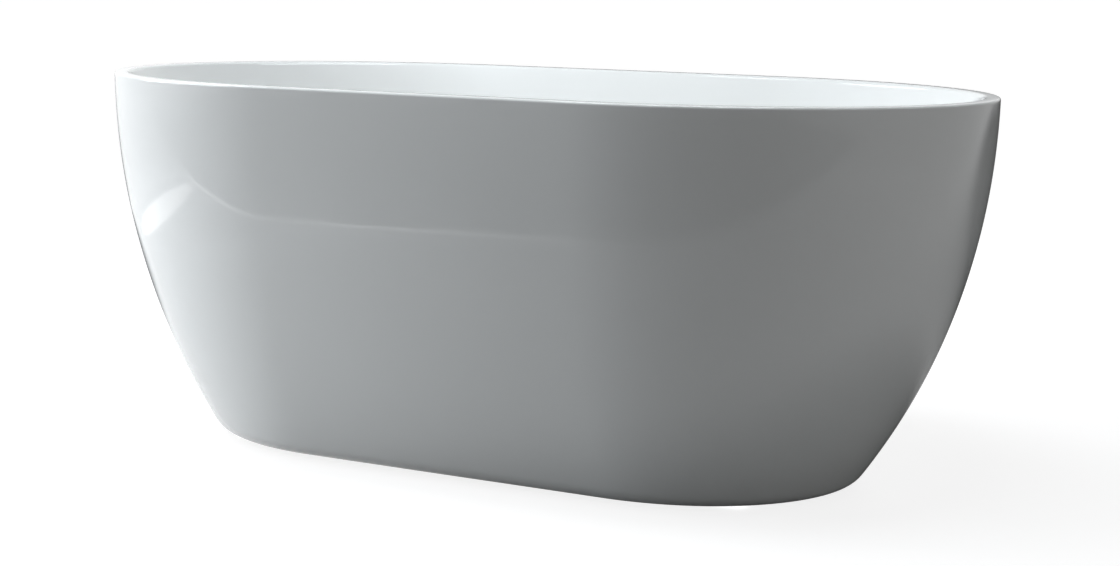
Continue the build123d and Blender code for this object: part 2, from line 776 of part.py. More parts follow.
# Overflow body: a flat drum behind the wall, as deep as the space allows, and a spigot
drum_top_y = overflow_y + overflow_body_radius * sin(side_angle)
drum_top_z = overflow_z + overflow_body_radius * cos(side_angle)
drum_front = overflow_seat.offset(-basin_wall - overflow_seal_thick)
drum_reach = (skirt_half(drum_top_z, skirt_wall)[1] - overflow_clear - drum_top_y) / cos(side_angle)
drum_depth = drum_reach - basin_wall - overflow_seal_thick
spigot_z = overflow_z - spigot_drop
pipe_low_z = floor_top + pipe_low_rise
pipe_slope = (gap_middle(spigot_z) - gap_middle(pipe_low_z)) / (spigot_z - pipe_low_z)
pipe_angle = atan(pipe_slope)
spigot_end = Plane(
    origin=(0, gap_middle(spigot_z), spigot_z),
    x_dir=(1, 0, 0),
    z_dir=(0, sin(pipe_angle), cos(pipe_angle)),
)

with BuildPart() as overflow_body:
    with BuildSketch(drum_front):
        Circle(overflow_body_radius)
    extrude(amount=-drum_depth)
    with BuildSketch(spigot_end):
        Circle(spigot_radius)
    extrude(amount=spigot_rise)
    with BuildSketch(drum_front):
        Circle(overflow_hole_radius)
    extrude(amount=-overflow_body_wall, mode=Mode.SUBTRACT)
    with BuildSketch(drum_front.offset(-overflow_body_wall)):
        Circle(overflow_body_radius - overflow_body_wall)
    extrude(amount=2 * overflow_body_wall - drum_depth, mode=Mode.SUBTRACT)
    with BuildSketch(spigot_end):
        Circle(spigot_bore)
    extrude(amount=stop_depth, mode=Mode.SUBTRACT)
    with BuildSketch(spigot_end):
        Circle(pipe_bore)
    extrude(amount=spigot_rise - overflow_body_wall, mode=Mode.SUBTRACT)
overflow_body.part.label = "overflow_body"
export_step(overflow_body.part, "parts/overflow_body.step")

# Overflow pipe: down the space behind the basin, round a bend and under the back rail
pipe_top = spigot_end.offset(stop_depth)
corner_y = gap_middle(spigot_z) - pipe_slope * (spigot_z - pipe_z)
inlet_stop = inlet_end - stop_depth

with BuildPart() as overflow_pipe:
    with BuildLine():
        FilletPolyline(
            pipe_top.origin,
            (0, corner_y, pipe_z),
            (0, inlet_stop, pipe_z),
            radius=pipe_bend,
        )
    with BuildSketch(pipe_top):
        Circle(pipe_radius)
        Circle(pipe_bore, mode=Mode.SUBTRACT)
    sweep()
overflow_pipe.part.label = "overflow_pipe"
export_step(overflow_pipe.part, "parts/overflow_pipe.step")

# Compression nut and seal at each end of the pipe
inlet_face = Plane(origin=(0, inlet_end, pipe_z), x_dir=(1, 0, 0), z_dir=(0, -1, 0))
for place, face in (("upper", spigot_end), ("lower", inlet_face)):
    with BuildPart() as pipe_seal:
        with BuildSketch(face):
            Circle(spigot_radius)
            Circle(pipe_radius, mode=Mode.SUBTRACT)
        extrude(amount=-pipe_seal_thick)
    pipe_seal.part.label = f"{place}_pipe_seal"
    export_step(pipe_seal.part, f"parts/{place}_pipe_seal.step")

    with BuildPart() as pipe_nut:
        with BuildSketch(face.offset(-pipe_seal_thick - pipe_nut_lip)):
            RegularPolygon(spigot_radius + pipe_nut_wall, pipe_nut_sides, major_radius=False)
            Circle(spigot_bore, mode=Mode.SUBTRACT)
        extrude(amount=pipe_nut_lip + pipe_seal_thick + pipe_nut_grip)
        with BuildSketch(face.offset(-pipe_seal_thick)):
            Circle(spigot_radius + thread_clear)
        extrude(amount=pipe_seal_thick + pipe_nut_grip, mode=Mode.SUBTRACT)
    pipe_nut.part.label = f"{place}_pipe_nut"
    export_step(pipe_nut.part, f"parts/{place}_pipe_nut.step")
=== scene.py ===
from math import atan, cos, pi, radians, sin, sqrt, tan

import bmesh
import bpy
from bpy.props import FloatProperty, FloatVectorProperty, PointerProperty
from mathutils import Matrix, Vector, noise


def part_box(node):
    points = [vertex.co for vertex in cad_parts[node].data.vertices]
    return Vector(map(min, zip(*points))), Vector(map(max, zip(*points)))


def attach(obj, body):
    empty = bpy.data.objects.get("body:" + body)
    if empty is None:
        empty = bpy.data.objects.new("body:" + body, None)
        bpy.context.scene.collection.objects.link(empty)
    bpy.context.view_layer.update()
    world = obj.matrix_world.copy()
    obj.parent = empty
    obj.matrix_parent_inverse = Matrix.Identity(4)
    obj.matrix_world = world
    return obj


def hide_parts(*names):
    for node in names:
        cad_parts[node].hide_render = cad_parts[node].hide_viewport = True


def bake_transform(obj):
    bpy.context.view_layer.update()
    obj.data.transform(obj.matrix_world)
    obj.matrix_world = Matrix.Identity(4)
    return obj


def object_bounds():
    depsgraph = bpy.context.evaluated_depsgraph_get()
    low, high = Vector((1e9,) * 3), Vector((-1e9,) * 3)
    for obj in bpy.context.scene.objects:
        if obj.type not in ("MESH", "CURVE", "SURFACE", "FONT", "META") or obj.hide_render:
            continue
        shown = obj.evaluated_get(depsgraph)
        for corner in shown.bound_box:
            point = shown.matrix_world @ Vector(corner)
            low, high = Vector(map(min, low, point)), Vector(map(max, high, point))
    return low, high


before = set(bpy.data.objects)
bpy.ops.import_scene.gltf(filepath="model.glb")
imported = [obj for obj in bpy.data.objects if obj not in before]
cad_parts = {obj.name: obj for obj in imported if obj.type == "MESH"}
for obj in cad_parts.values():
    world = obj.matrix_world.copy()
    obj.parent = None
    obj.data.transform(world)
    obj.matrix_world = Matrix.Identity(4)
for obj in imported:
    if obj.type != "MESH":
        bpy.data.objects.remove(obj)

bl_info = {
    "name": "Freestanding bathtub",
    "version": (1, 0, 0),
    "blender": (4, 5, 0),
    "location": "3D View > Sidebar > Bathtub",
    "description": "Dresses an oval acrylic bathtub: shells, frame, feet, waste, overflow and studio",
    "category": "Object",
}

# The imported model's own boxes, in metres
cad_low, cad_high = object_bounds()
basin_low, basin_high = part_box("basin")
bond_low, bond_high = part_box("rim_bond")
corners = ("front_left", "front_right", "back_left", "back_right")

# Sizes that follow from those boxes
half_length = basin_high.x
half_width = basin_high.y
rim_top = basin_high.z
rim_under = bond_high.z
flange_seat = bond_low.z
floor_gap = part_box("skirt")[0].z


def linear(hex_colour):
    """An sRGB hex colour as linear red, green and blue."""
    parts = [int(hex_colour[i : i + 2], 16) / 255 for i in (1, 3, 5)]
    return tuple(p / 12.92 if p <= 0.04045 else ((p + 0.055) / 1.055) ** 2.4 for p in parts)


def number_property(name, default, description, **kind):
    return FloatProperty(name=name, description=description, default=default, **kind)


def length_property(name, default, description):
    return number_property(name, default, description, unit="LENGTH", precision=4)


def power_property(name, default, description):
    return number_property(name, default, description, unit="POWER")


def angle_property(name, degrees, description):
    return number_property(name, radians(degrees), description, subtype="ANGLE")


def colour_property(name, hex_colour, description):
    return FloatVectorProperty(
        name=name, description=description, default=linear(hex_colour), size=3, subtype="COLOR", min=0, max=1
    )


class TubShellSettings(bpy.types.PropertyGroup):
    """Shape of the two acrylic shells"""

    straight_side: length_property("Straight side", 0.525, "Straight middle of each long side")
    end_tuck: length_property("End tuck", 0.196, "How far each end draws in from rim to foot")
    side_tuck: length_property("Side tuck", 0.120, "How far each long side draws in")
    foot_round: length_property("Foot round", 0.038, "Radius of the skirt's foot")
    foot_flange: length_property("Foot flange", 0.025, "Flat return under the skirt")
    top_flange: length_property("Top flange", 0.014, "Flat return that carries the rim")
    skirt_wall: length_property("Skirt wall", 0.004, "Thickness of the skirt")
    rim_width: length_property("Rim width", 0.024, "Width of the rim")
    rim_round: length_property("Rim round", 0.004, "Radius of the rim's outer edge")
    lip_round: length_property("Lip round", 0.009, "Radius of the rim's inner edge")
    basin_wall: length_property("Basin wall", 0.005, "Thickness of the basin's wall")
    basin_depth: length_property("Basin depth", 0.450, "Rim to floor inside")
    basin_floor: length_property("Basin floor", 0.006, "Thickness of the basin's floor")
    end_lean: length_property("End lean", 0.228, "Slope of the inner end walls, rim to floor")
    side_lean: length_property("Side lean", 0.128, "Slope of the inner side walls, rim to floor")
    floor_round: length_property("Floor round", 0.080, "Radius between inner walls and floor")
    sump_radius: length_property("Sump radius", 0.041, "Flat recess round the waste")
    sump_slope: length_property("Sump slope", 0.006, "Width of the recess's sloping edge")
    sump_wall: length_property("Sump wall", 0.009, "Thickness round the recess, below the floor")
    waste_hole: length_property("Waste hole", 0.025, "Radius of the waste hole")
    overflow_hole: length_property("Overflow hole", 0.0203, "Radius of the overflow hole")
    seam_lip: length_property("Seam lip", 0.0015, "Edge of the skirt that hides the bond")
    wave_height: length_property("Wave height", 0.0008, "Unevenness of the formed sheet")


class TubFittingSettings(bpy.types.PropertyGroup):
    """Sizes of the screws, feet and waste"""

    screw_shank: length_property("Screw shank", 0.0024, "Radius of the frame's screws")
    screw_head: length_property("Screw head", 0.005, "Radius of their heads")
    screw_head_height: length_property("Screw head height", 0.0035, "Height of their heads")
    screw_pitch: length_property("Screw pitch", 0.0018, "Pitch of their threads")
    stud_radius: length_property("Stud radius", 0.005, "Levelling stud")
    stud_pitch: length_property("Stud pitch", 0.0015, "Pitch of the levelling thread")
    nut_flats: length_property("Nut size", 0.017, "Across the flats of nuts and collars")
    nut_bore: length_property("Nut bore", 0.0053, "Radius inside nuts and pads")
    collar_low: length_property("Collar gap", 0.0003, "Between pad and collar")
    collar_height: length_property("Collar height", 0.006, "Hexagon on the stud")
    boss_radius: length_property("Boss radius", 0.011, "Socket on the pad")
    boss_height: length_property("Boss height", 0.010, "Socket above the pad")
    socket_floor: length_property("Socket floor", 0.004, "Pad under the stud")
    weld_size: length_property("Weld size", 0.0022, "Radius of the beads on the frame")
    tail_radius: length_property("Tail radius", 0.0235, "Waste flange through the floor")
    tail_bore: length_property("Tail bore", 0.0195, "Inside of that tail")
    lip_thick: length_property("Lip thickness", 0.003, "Rim of the waste flange")
    dish_rim: length_property("Dish rim", 0.004, "Flat rim round the flange's dish")
    dish_depth: length_property("Dish depth", 0.002, "Slope of the flange's dish")
    cap_edge: length_property("Cap edge", 0.0012, "Straight edge of the stopper")
    stem_bore: length_property("Stem bore", 0.0058, "Hollow of the stopper's stem")
    stem_top: length_property("Stem top", 0.006, "Solid top of the stem")
    spring_wire: length_property("Spring wire", 0.0006, "Radius of the spring's wire")


class TubFinishSettings(bpy.types.PropertyGroup):
    """Colours of the finishes"""

    acrylic: colour_property("Acrylic", "#F1F3F2", "White acrylic sheet")
    fibreglass: colour_property("Fibreglass", "#C8C5B2", "Resin backing of the shells")
    zinc: colour_property("Zinc", "#B4B9BD", "Zinc plating on the frame")
    plywood: colour_property("Plywood", "#C9A878", "Birch plywood of the base board")
    polyamide: colour_property("Polyamide", "#17181A", "Moulded foot pads")
    rubber: colour_property("Rubber", "#26272A", "Soles and seals")
    chrome: colour_property("Chrome", "#C5C8CA", "Polished plating on waste and overflow")
    brass: colour_property("Brass", "#C7A15B", "Turned stopper stem")
    plastic: colour_property("Polypropylene", "#E4E4DF", "Waste body, overflow body and pipe")
    sealant: colour_property("Sealant", "#DFDFDA", "Cured bond between rim and skirt")


class TubStageSettings(bpy.types.PropertyGroup):
    """Floor, lamps and camera"""

    floor: colour_property("Floor", "#949494", "Studio floor, as it colours the light it throws back")
    # The floor's seen white by the tub, lowered there as a painted shade
    shaded_near_white: number_property("Near white", 0.84, "White of the floor by the tub", min=0, max=1)
    far_white: number_property("Far white", 1.0, "White of the floor far off", min=0, max=1)
    daylight: colour_property("Daylight", "#F7FBFF", "Cool light of the lamps at the left and overhead")
    room_light: number_property("Room light", 0.02, "Even light of the room", min=0)
    key_power: power_property("Key lamp", 38, "Soft lamp at the left")
    side_power: power_property("Side lamp", 20, "Soft lamp high at the left")
    top_power: power_property("Top lamp", 25, "Soft lamp overhead")
    fill_power: power_property("Fill lamp", 8.0, "Soft lamp at the right")
    back_power: power_property("Back lamp", 14, "Soft lamp behind")
    under_power: power_property("Under lamp", 1.5, "Soft lamp under the tub")
    bounce_power: power_property("Bounce lamp", 3.6, "Low lamp at the left")
    # Glow of the card that paints the bright reflected line in the gloss
    painted_line_glow: number_property("Edge glow", 3.6, "Bright line that shows in the gloss", min=0)
    azimuth: angle_property("Azimuth", 28.42, "Camera round the tub")
    elevation: angle_property("Elevation", 8.61, "Camera above the horizon")
    roll: angle_property("Roll", 0.607, "Camera tilt")
    distance: length_property("Distance", 3.364, "Camera from the middle of the tub")
    lens: number_property("Lens", 67.06, "Focal length on the sensor", subtype="DISTANCE_CAMERA")
    shift_right: number_property("Shift right", 0.0291, "Frame off centre, as a share of its width")
    shift_up: number_property("Shift up", -0.0142, "Frame off centre, as a share of its width")


# Meshes

END_STEPS = 96
SIDE_STEPS = 44
SHARP_EDGE = radians(32)
CORE = 0.0005  # radius at which a spun piece closes with a flat end
WAVE_FADE = 0.06  # height below the rim over which the sheet's wave grows


def finish_mesh(bm, name, coats, body, node):
    """Turns a bmesh into a smooth-shaded piece with its finishes, which rides on a body and stands for a
    CAD node."""
    bmesh.ops.recalc_face_normals(bm, faces=bm.faces)
    for face in bm.faces:
        face.smooth = True
    for edge in bm.edges:
        edge.smooth = edge.calc_face_angle(0) < SHARP_EDGE
    mesh = bpy.data.meshes.new(name)
    bm.to_mesh(mesh)
    bm.free()
    for coat in coats:
        mesh.materials.append(finishes[coat])
    piece = bpy.data.objects.new(name, mesh)
    bpy.context.scene.collection.objects.link(piece)
    if body:
        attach(piece, body)
    if node:
        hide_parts(node)
    return piece


def skin_rings(bm, rings, bands, closed=False):
    """Joins rings of equally many points with quads; bands gives each strip's material."""
    loops = [[bm.verts.new(point) for point in ring] for ring in rings]
    pairs = list(zip(loops, loops[1:] + loops[:1])) if closed else list(zip(loops, loops[1:]))
    for (lower, upper), material in zip(pairs, bands):
        count = len(lower)
        for i in range(count):
            j = (i + 1) % count
            face = bm.faces.new((lower[i], lower[j], upper[j], upper[i]))
            face.material_index = material
    return loops


def arc(centre_radius, centre_z, radius, start, end, steps=5):
    """Points of a profile's round, from one angle in degrees to another."""
    angles = [radians(start + (end - start) * i / steps) for i in range(steps + 1)]
    return [(centre_radius + radius * cos(a), centre_z + radius * sin(a)) for a in angles]


def turned(bm, profile, place=Matrix(), steps=64, closed=True):
    """Spins a profile of (radius, height) rows; a row's radius may be a function of the turn.
    A profile that isn't closed gets a flat end at its first and last row."""
    rings = []
    for radius, z in profile:
        ring = []
        for i in range(steps):
            turn = 2 * pi * i / steps
            r = radius(turn) if callable(radius) else radius
            ring.append(place @ Vector((r * cos(turn), r * sin(turn), z)))
        rings.append(ring)
    loops = skin_rings(bm, rings, [0] * len(rings), closed)
    if not closed:
        bm.faces.new(loops[0])
        bm.faces.new(loops[-1])


def hexagon_rows(flats, low, high):
    """Rows of a hexagon with its corners chamfered at both ends."""
    inner, corner = flats * 0.49, flats / 2 / cos(pi / 6)
    chamfer = (corner - inner) * tan(pi / 6)
    rows = []
    for share in (0, 0.33, 0.67, 1):
        limit = inner + (corner - inner) * share

        def radius(turn, limit=limit):
            return min(flats / 2 / cos(turn % (pi / 3) - pi / 6), limit)

        rows.append((radius, chamfer * share))
    return [(r, low + z) for r, z in rows] + [(r, high - z) for r, z in reversed(rows)]


def thread_rows(radius, depth, pitch, low, high):
    """Rows of a bar with a single-start thread that runs out at both ends."""
    rows = []
    count = max(2, round((high - low) / pitch * 6))
    for row in range(count + 1):
        z = low + (high - low) * row / count
        runout = min(1, (z - low) / pitch, (high - z) / pitch)

        def at(turn, z=z, runout=runout):
            flank = abs(2 * ((z / pitch - turn / (2 * pi)) % 1) - 1)
            return radius - depth * runout * min(1, max(0, 1.25 * flank - 0.12))

        rows.append((at, z))
    return rows


def separate_boxes(node):
    """The box of each separate solid in a CAD node, sorted by place."""
    bm = bmesh.new()
    bm.from_mesh(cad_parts[node].data)
    bmesh.ops.remove_doubles(bm, verts=bm.verts, dist=1e-6)
    left = set(bm.verts)
    boxes = []
    while left:
        found = {left.pop()}
        edge = list(found)
        while edge:
            near = {e.other_vert(v) for v in edge for e in v.link_edges} - found
            found |= near
            edge = list(near)
        left -= found
        points = [v.co for v in found]
        boxes.append(
            tuple(Vector([pick(p[axis] for p in points) for axis in range(3)]) for pick in (min, max))
        )
    bm.free()
    return sorted(boxes, key=lambda box: box[0][:])


def upright(box, z=0.0):
    """A place standing upright over the middle of a box."""
    low, high = box
    return Matrix.Translation(((low.x + high.x) / 2, (low.y + high.y) / 2, z))


def outline(half_x, half_y, z, straight):
    """The tub's plan at one level: straight sides with half an ellipse at each end."""
    s = straight / 2
    end = half_x - s
    points = []
    for i in range(END_STEPS):
        t = pi * i / END_STEPS - pi / 2
        points.append(Vector((s + end * cos(t), half_y * sin(t), z)))
    points += [Vector((s - 2 * s * i / SIDE_STEPS, half_y, z)) for i in range(SIDE_STEPS)]
    for i in range(END_STEPS):
        t = pi * i / END_STEPS + pi / 2
        points.append(Vector((-s + end * cos(t), half_y * sin(t), z)))
    points += [Vector((-s + 2 * s * i / SIDE_STEPS, -half_y, z)) for i in range(SIDE_STEPS)]
    return points


def drawn_half(half, tuck, z, bottom, rounding):
    """Half size of a skirt wall at a height: an arc that is upright at the rim, then a rounded foot."""
    reach = rim_top - floor_gap
    bow = (tuck**2 + reach**2) / (2 * tuck)
    middle_z = bottom + rounding
    middle = half - bow + sqrt((bow - rounding) ** 2 - (rim_top - middle_z) ** 2)
    touch_z = rim_top - (rim_top - middle_z) * bow / (bow - rounding)
    if z >= touch_z:
        return half - bow + sqrt(bow**2 - (rim_top - z) ** 2)
    return middle + sqrt(max(0.0, rounding**2 - (middle_z - z) ** 2))


def even(start, end, steps):
    """Evenly spaced values, both ends included."""
    return [start + (end - start) * i / steps for i in range(steps + 1)]


def sheet_wave(point, height):
    """Slow unevenness of vacuum-formed sheet, about a hand's width from crest to crest."""
    broad = noise.noise(Vector((point.x * 3.1 + 4.0, point.y * 3.1, point.z * 2.2)))
    close = noise.noise(Vector((point.x * 7.0, point.y * 7.0 + 9.0, point.z * 4.0)))
    return height * (broad + 0.35 * close)


# Materials


def add_node(owner, kind, inputs=None, **settings):
    """Adds one shader node with its settings, values and links, and returns its first live output."""
    node = owner.node_tree.nodes.new(f"ShaderNode{kind}")
    for name, value in settings.items():
        setattr(node, name, value)
    for name, value in (inputs or {}).items():
        if isinstance(value, bpy.types.NodeSocket):
            owner.node_tree.links.new(value, node.inputs[name])
        else:
            node.inputs[name].default_value = value
    return next((socket for socket in node.outputs if socket.enabled), None)


def new_material(name):
    """An empty node material, and the coordinates of the object that wears it."""
    material = bpy.data.materials.new(name)
    material.use_nodes = True
    material.node_tree.nodes.clear()
    place = add_node(material, "TexCoord").node.outputs["Object"]
    return material, place


def close_material(material, shader):
    """Joins a finished shader to the material's output."""
    add_node(material, "OutputMaterial", {"Surface": shader})
    return material


def per_metre(millimetres):
    """Texture scale for a pattern of that size."""
    return 1000 / millimetres


def rgba(colour, level=1.0):
    return (colour[0] * level, colour[1] * level, colour[2] * level, 1)


def gloss_acrylic(colour):
    """Cast acrylic sheet, vacuum formed: a deep even white with a clear gloss. The eye sees soft
    reflections with a faint ripple, a few dull patches from wiping, and no colour of its own."""
    material, place = new_material("gloss_white_acrylic")
    wiped = add_node(material, "TexNoise", {"Vector": place, "Scale": per_metre(180), "Detail": 3})
    spread = {"From Min": 0.35, "From Max": 0.7, "To Min": 0.05, "To Max": 0.10}
    gloss = add_node(material, "MapRange", {"Value": wiped, **spread})
    depth = add_node(material, "TexNoise", {"Vector": place, "Scale": per_metre(420), "Detail": 2})
    tones = {"Factor": depth, "A": rgba(colour, 0.985), "B": rgba(colour)}
    tone = add_node(material, "Mix", tones, data_type="RGBA")
    peel = add_node(material, "TexNoise", {"Vector": place, "Scale": per_metre(9), "Detail": 1})
    ripple = add_node(material, "Bump", {"Height": peel, "Strength": 0.05, "Distance": 0.0004})
    shader = add_node(
        material, "BsdfPrincipled", {"Base Color": tone, "Roughness": gloss, "IOR": 1.49, "Normal": ripple}
    )
    return close_material(material, shader)


def fibreglass_backing(colour):
    """Chopped strand mat rolled into polyester resin on the back of the sheet: a cloudy, uneven
    cream with short pale strands lying every way and a lumpy, half-gloss skin."""
    material, place = new_material("fibreglass_backing")
    strands = []
    for turn in (0.4, 1.5, 2.6):
        lie = {"Vector": place, "Rotation": (turn, turn * 0.6, turn), "Scale": (14, 1, 1)}
        along = add_node(material, "Mapping", lie, vector_type="TEXTURE")
        strands.append(add_node(material, "TexNoise", {"Vector": along, "Scale": per_metre(3), "Detail": 1}))
    crossed = add_node(material, "Math", {0: strands[0], 1: strands[1]}, operation="MAXIMUM")
    mat = add_node(material, "Math", {0: crossed, 1: strands[2]}, operation="MAXIMUM")
    shown = add_node(material, "MapRange", {"Value": mat, "From Min": 0.55, "From Max": 0.75})
    tones = {"Factor": shown, "A": rgba(colour, 0.72), "B": rgba(colour, 1.12)}
    tone = add_node(material, "Mix", tones, data_type="RGBA")
    lumps = add_node(material, "Bump", {"Height": mat, "Strength": 0.5, "Distance": 0.0012})
    shader = add_node(
        material, "BsdfPrincipled", {"Base Color": tone, "Roughness": 0.42, "IOR": 1.54, "Normal": lumps}
    )
    return close_material(material, shader)


def zinc_plate(colour):
    """Zinc-plated steel: a cool grey metal, half bright, with a faint crystal mottle and small scuffs."""
    material, place = new_material("zinc_plated_steel")
    cells = add_node(material, "TexVoronoi", {"Vector": place, "Scale": per_metre(7)})
    crystals = cells.node.outputs["Color"]
    scuffs = add_node(material, "TexNoise", {"Vector": place, "Scale": per_metre(16), "Detail": 5})
    tones = {"Factor": crystals, "A": rgba(colour, 0.86), "B": rgba(colour, 1.05)}
    tone = add_node(material, "Mix", tones, data_type="RGBA")
    spread = {"From Min": 0.3, "From Max": 0.75, "To Min": 0.28, "To Max": 0.5}
    satin = add_node(material, "MapRange", {"Value": scuffs, **spread})
    shader = add_node(material, "BsdfPrincipled", {"Base Color": tone, "Metallic": 1.0, "Roughness": satin})
    return close_material(material, shader)


def birch_plywood(colour):
    """Raw birch plywood: pale tan faces with long grain along the board, and thin dark glue lines
    between the plies where its edge shows."""
    material, place = new_material("birch_plywood")
    along = add_node(material, "Mapping", {"Vector": place, "Scale": (0.06, 1, 1)})
    grain = add_node(
        material, "TexNoise", {"Vector": along, "Scale": per_metre(5), "Detail": 6, "Distortion": 0.6}
    )
    layers = add_node(
        material,
        "TexWave",
        {"Vector": place, "Scale": per_metre(3) * 2 * pi / 20, "Phase Offset": 1.5},
        wave_type="BANDS",
        bands_direction="Z",
        wave_profile="SAW",
    )
    plies = layers.node.outputs["Fac"]
    mixed = add_node(material, "Math", {0: plies, 1: 0.25, 2: grain}, operation="MULTIPLY_ADD")
    tones = {"Factor": mixed, "A": rgba(colour, 1.12), "B": rgba(colour, 0.72)}
    tone = add_node(material, "Mix", tones, data_type="RGBA")
    fibres = add_node(material, "Bump", {"Height": grain, "Strength": 0.25, "Distance": 0.0003})
    shader = add_node(material, "BsdfPrincipled", {"Base Color": tone, "Roughness": 0.68, "Normal": fibres})
    return close_material(material, shader)


def moulded(name, colour, roughness, grit, lift):
    """Injection-moulded or pressed surface: one even colour with a fine spark-eroded grit that
    softens the shine. The grit is drawn coarser than life so that it shows."""
    material, place = new_material(name)
    grains = add_node(material, "TexNoise", {"Vector": place, "Scale": per_metre(grit), "Detail": 2})
    handled = add_node(material, "TexNoise", {"Vector": place, "Scale": per_metre(35), "Detail": 3})
    tones = {"Factor": handled, "A": rgba(colour, 0.9), "B": rgba(colour, 1.06)}
    tone = add_node(material, "Mix", tones, data_type="RGBA")
    worn = add_node(
        material, "MapRange", {"Value": handled, "To Min": roughness - 0.08, "To Max": roughness + 0.08}
    )
    rough = add_node(material, "Bump", {"Height": grains, "Strength": 0.3, "Distance": lift})
    shader = add_node(material, "BsdfPrincipled", {"Base Color": tone, "Roughness": worn, "Normal": rough})
    return close_material(material, shader)


def bright_metal(name, colour, roughness):
    """Polished plating or turned metal: a mirror with the faintest water marks and wiping haze."""
    material, place = new_material(name)
    marks = add_node(material, "TexNoise", {"Vector": place, "Scale": per_metre(14), "Detail": 4})
    spread = {"From Min": 0.45, "From Max": 0.75, "To Min": roughness, "To Max": roughness * 2.2}
    haze = add_node(material, "MapRange", {"Value": marks, **spread})
    shader = add_node(
        material, "BsdfPrincipled", {"Base Color": rgba(colour), "Metallic": 1.0, "Roughness": haze}
    )
    return close_material(material, shader)


finishes = {}


def make_finishes(colours):
    """Makes every finish once."""
    if finishes:
        return
    finishes["acrylic"] = gloss_acrylic(colours.acrylic)
    finishes["fibreglass"] = fibreglass_backing(colours.fibreglass)
    finishes["zinc"] = zinc_plate(colours.zinc)
    finishes["plywood"] = birch_plywood(colours.plywood)
    finishes["polyamide"] = moulded("black_polyamide", colours.polyamide, 0.45, 1.2, 0.0001)
    finishes["rubber"] = moulded("nitrile_rubber", colours.rubber, 0.75, 1.5, 0.0002)
    finishes["plastic"] = moulded("white_polypropylene", colours.plastic, 0.38, 1.5, 0.0001)
    finishes["sealant"] = moulded("cured_sealant", colours.sealant, 0.5, 4.0, 0.0002)
    finishes["chrome"] = bright_metal("polished_chrome", colours.chrome, 0.05)
    finishes["brass"] = bright_metal("turned_brass", colours.brass, 0.22)


def dress(node, finish):
    """Gives a CAD node its finish."""
    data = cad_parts[node].data
    data.materials.clear()
    data.materials.append(finishes[finish])


# Pieces


class TUB_OT_skirt(bpy.types.Operator):
    """Outer shell: one smooth oval wall with a rounded foot, a foot flange and a top flange"""

    bl_idname = "tub.skirt"
    bl_label = "Skirt"

    def execute(self, context):
        shell = context.scene.tub_shell
        make_finishes(context.scene.tub_finish)
        foot_round, wall = shell.foot_round, shell.skirt_wall
        flange_top = floor_gap + wall

        def level(z, inset, bottom, rounding):
            half_x = drawn_half(half_length, shell.end_tuck, z, bottom, rounding) - inset
            half_y = drawn_half(half_width, shell.side_tuck, z, bottom, rounding) - inset
            return outline(half_x, half_y, z, shell.straight_side)

        outer = [level(z, 0, floor_gap, foot_round) for z in even(rim_under, floor_gap + foot_round, 60)]
        outer += [
            level(floor_gap + foot_round - foot_round * sin(radians(a)), 0, floor_gap, foot_round)
            for a in range(6, 91, 6)
        ]
        for ring in outer:
            for point in ring:
                middle_x = max(-shell.straight_side / 2, min(shell.straight_side / 2, point.x))
                outward = Vector((point.x - middle_x, point.y, 0)).normalized()
                fade = min(1, (rim_under - point.z) / WAVE_FADE)
                point += outward * sheet_wave(point, shell.wave_height) * fade
        opening = [
            drawn_half(half, tuck, floor_gap, floor_gap, foot_round) - shell.foot_flange
            for half, tuck in ((half_length, shell.end_tuck), (half_width, shell.side_tuck))
        ]
        flange = [outline(*opening, z, shell.straight_side) for z in (floor_gap, flange_top)]
        inner_round = foot_round - wall
        inner = [
            level(flange_top + inner_round - inner_round * sin(radians(a)), wall, flange_top, inner_round)
            for a in range(90, 0, -10)
        ]
        inner += [
            level(z, wall, flange_top, inner_round)
            for z in even(flange_top + inner_round, flange_seat - wall, 20)
        ]
        lip = shell.seam_lip
        top_x, top_y = half_length - wall - shell.top_flange, half_width - wall - shell.top_flange
        top = [
            outline(top_x, top_y, flange_seat - wall, shell.straight_side),
            outline(top_x, top_y, flange_seat, shell.straight_side),
            outline(half_length - lip, half_width - lip, flange_seat, shell.straight_side),
            outline(half_length - lip, half_width - lip, rim_under, shell.straight_side),
        ]
        rings = outer + flange + inner + top
        bands = [0] * (len(outer) + 1) + [1] * (len(rings) - len(outer) - 1)
        bm = bmesh.new()
        skin_rings(bm, rings, bands, closed=True)
        finish_mesh(bm, "skirt_shell", ("acrylic", "fibreglass"), "tub", "skirt")
        dress("rim_bond", "sealant")
        return {"FINISHED"}


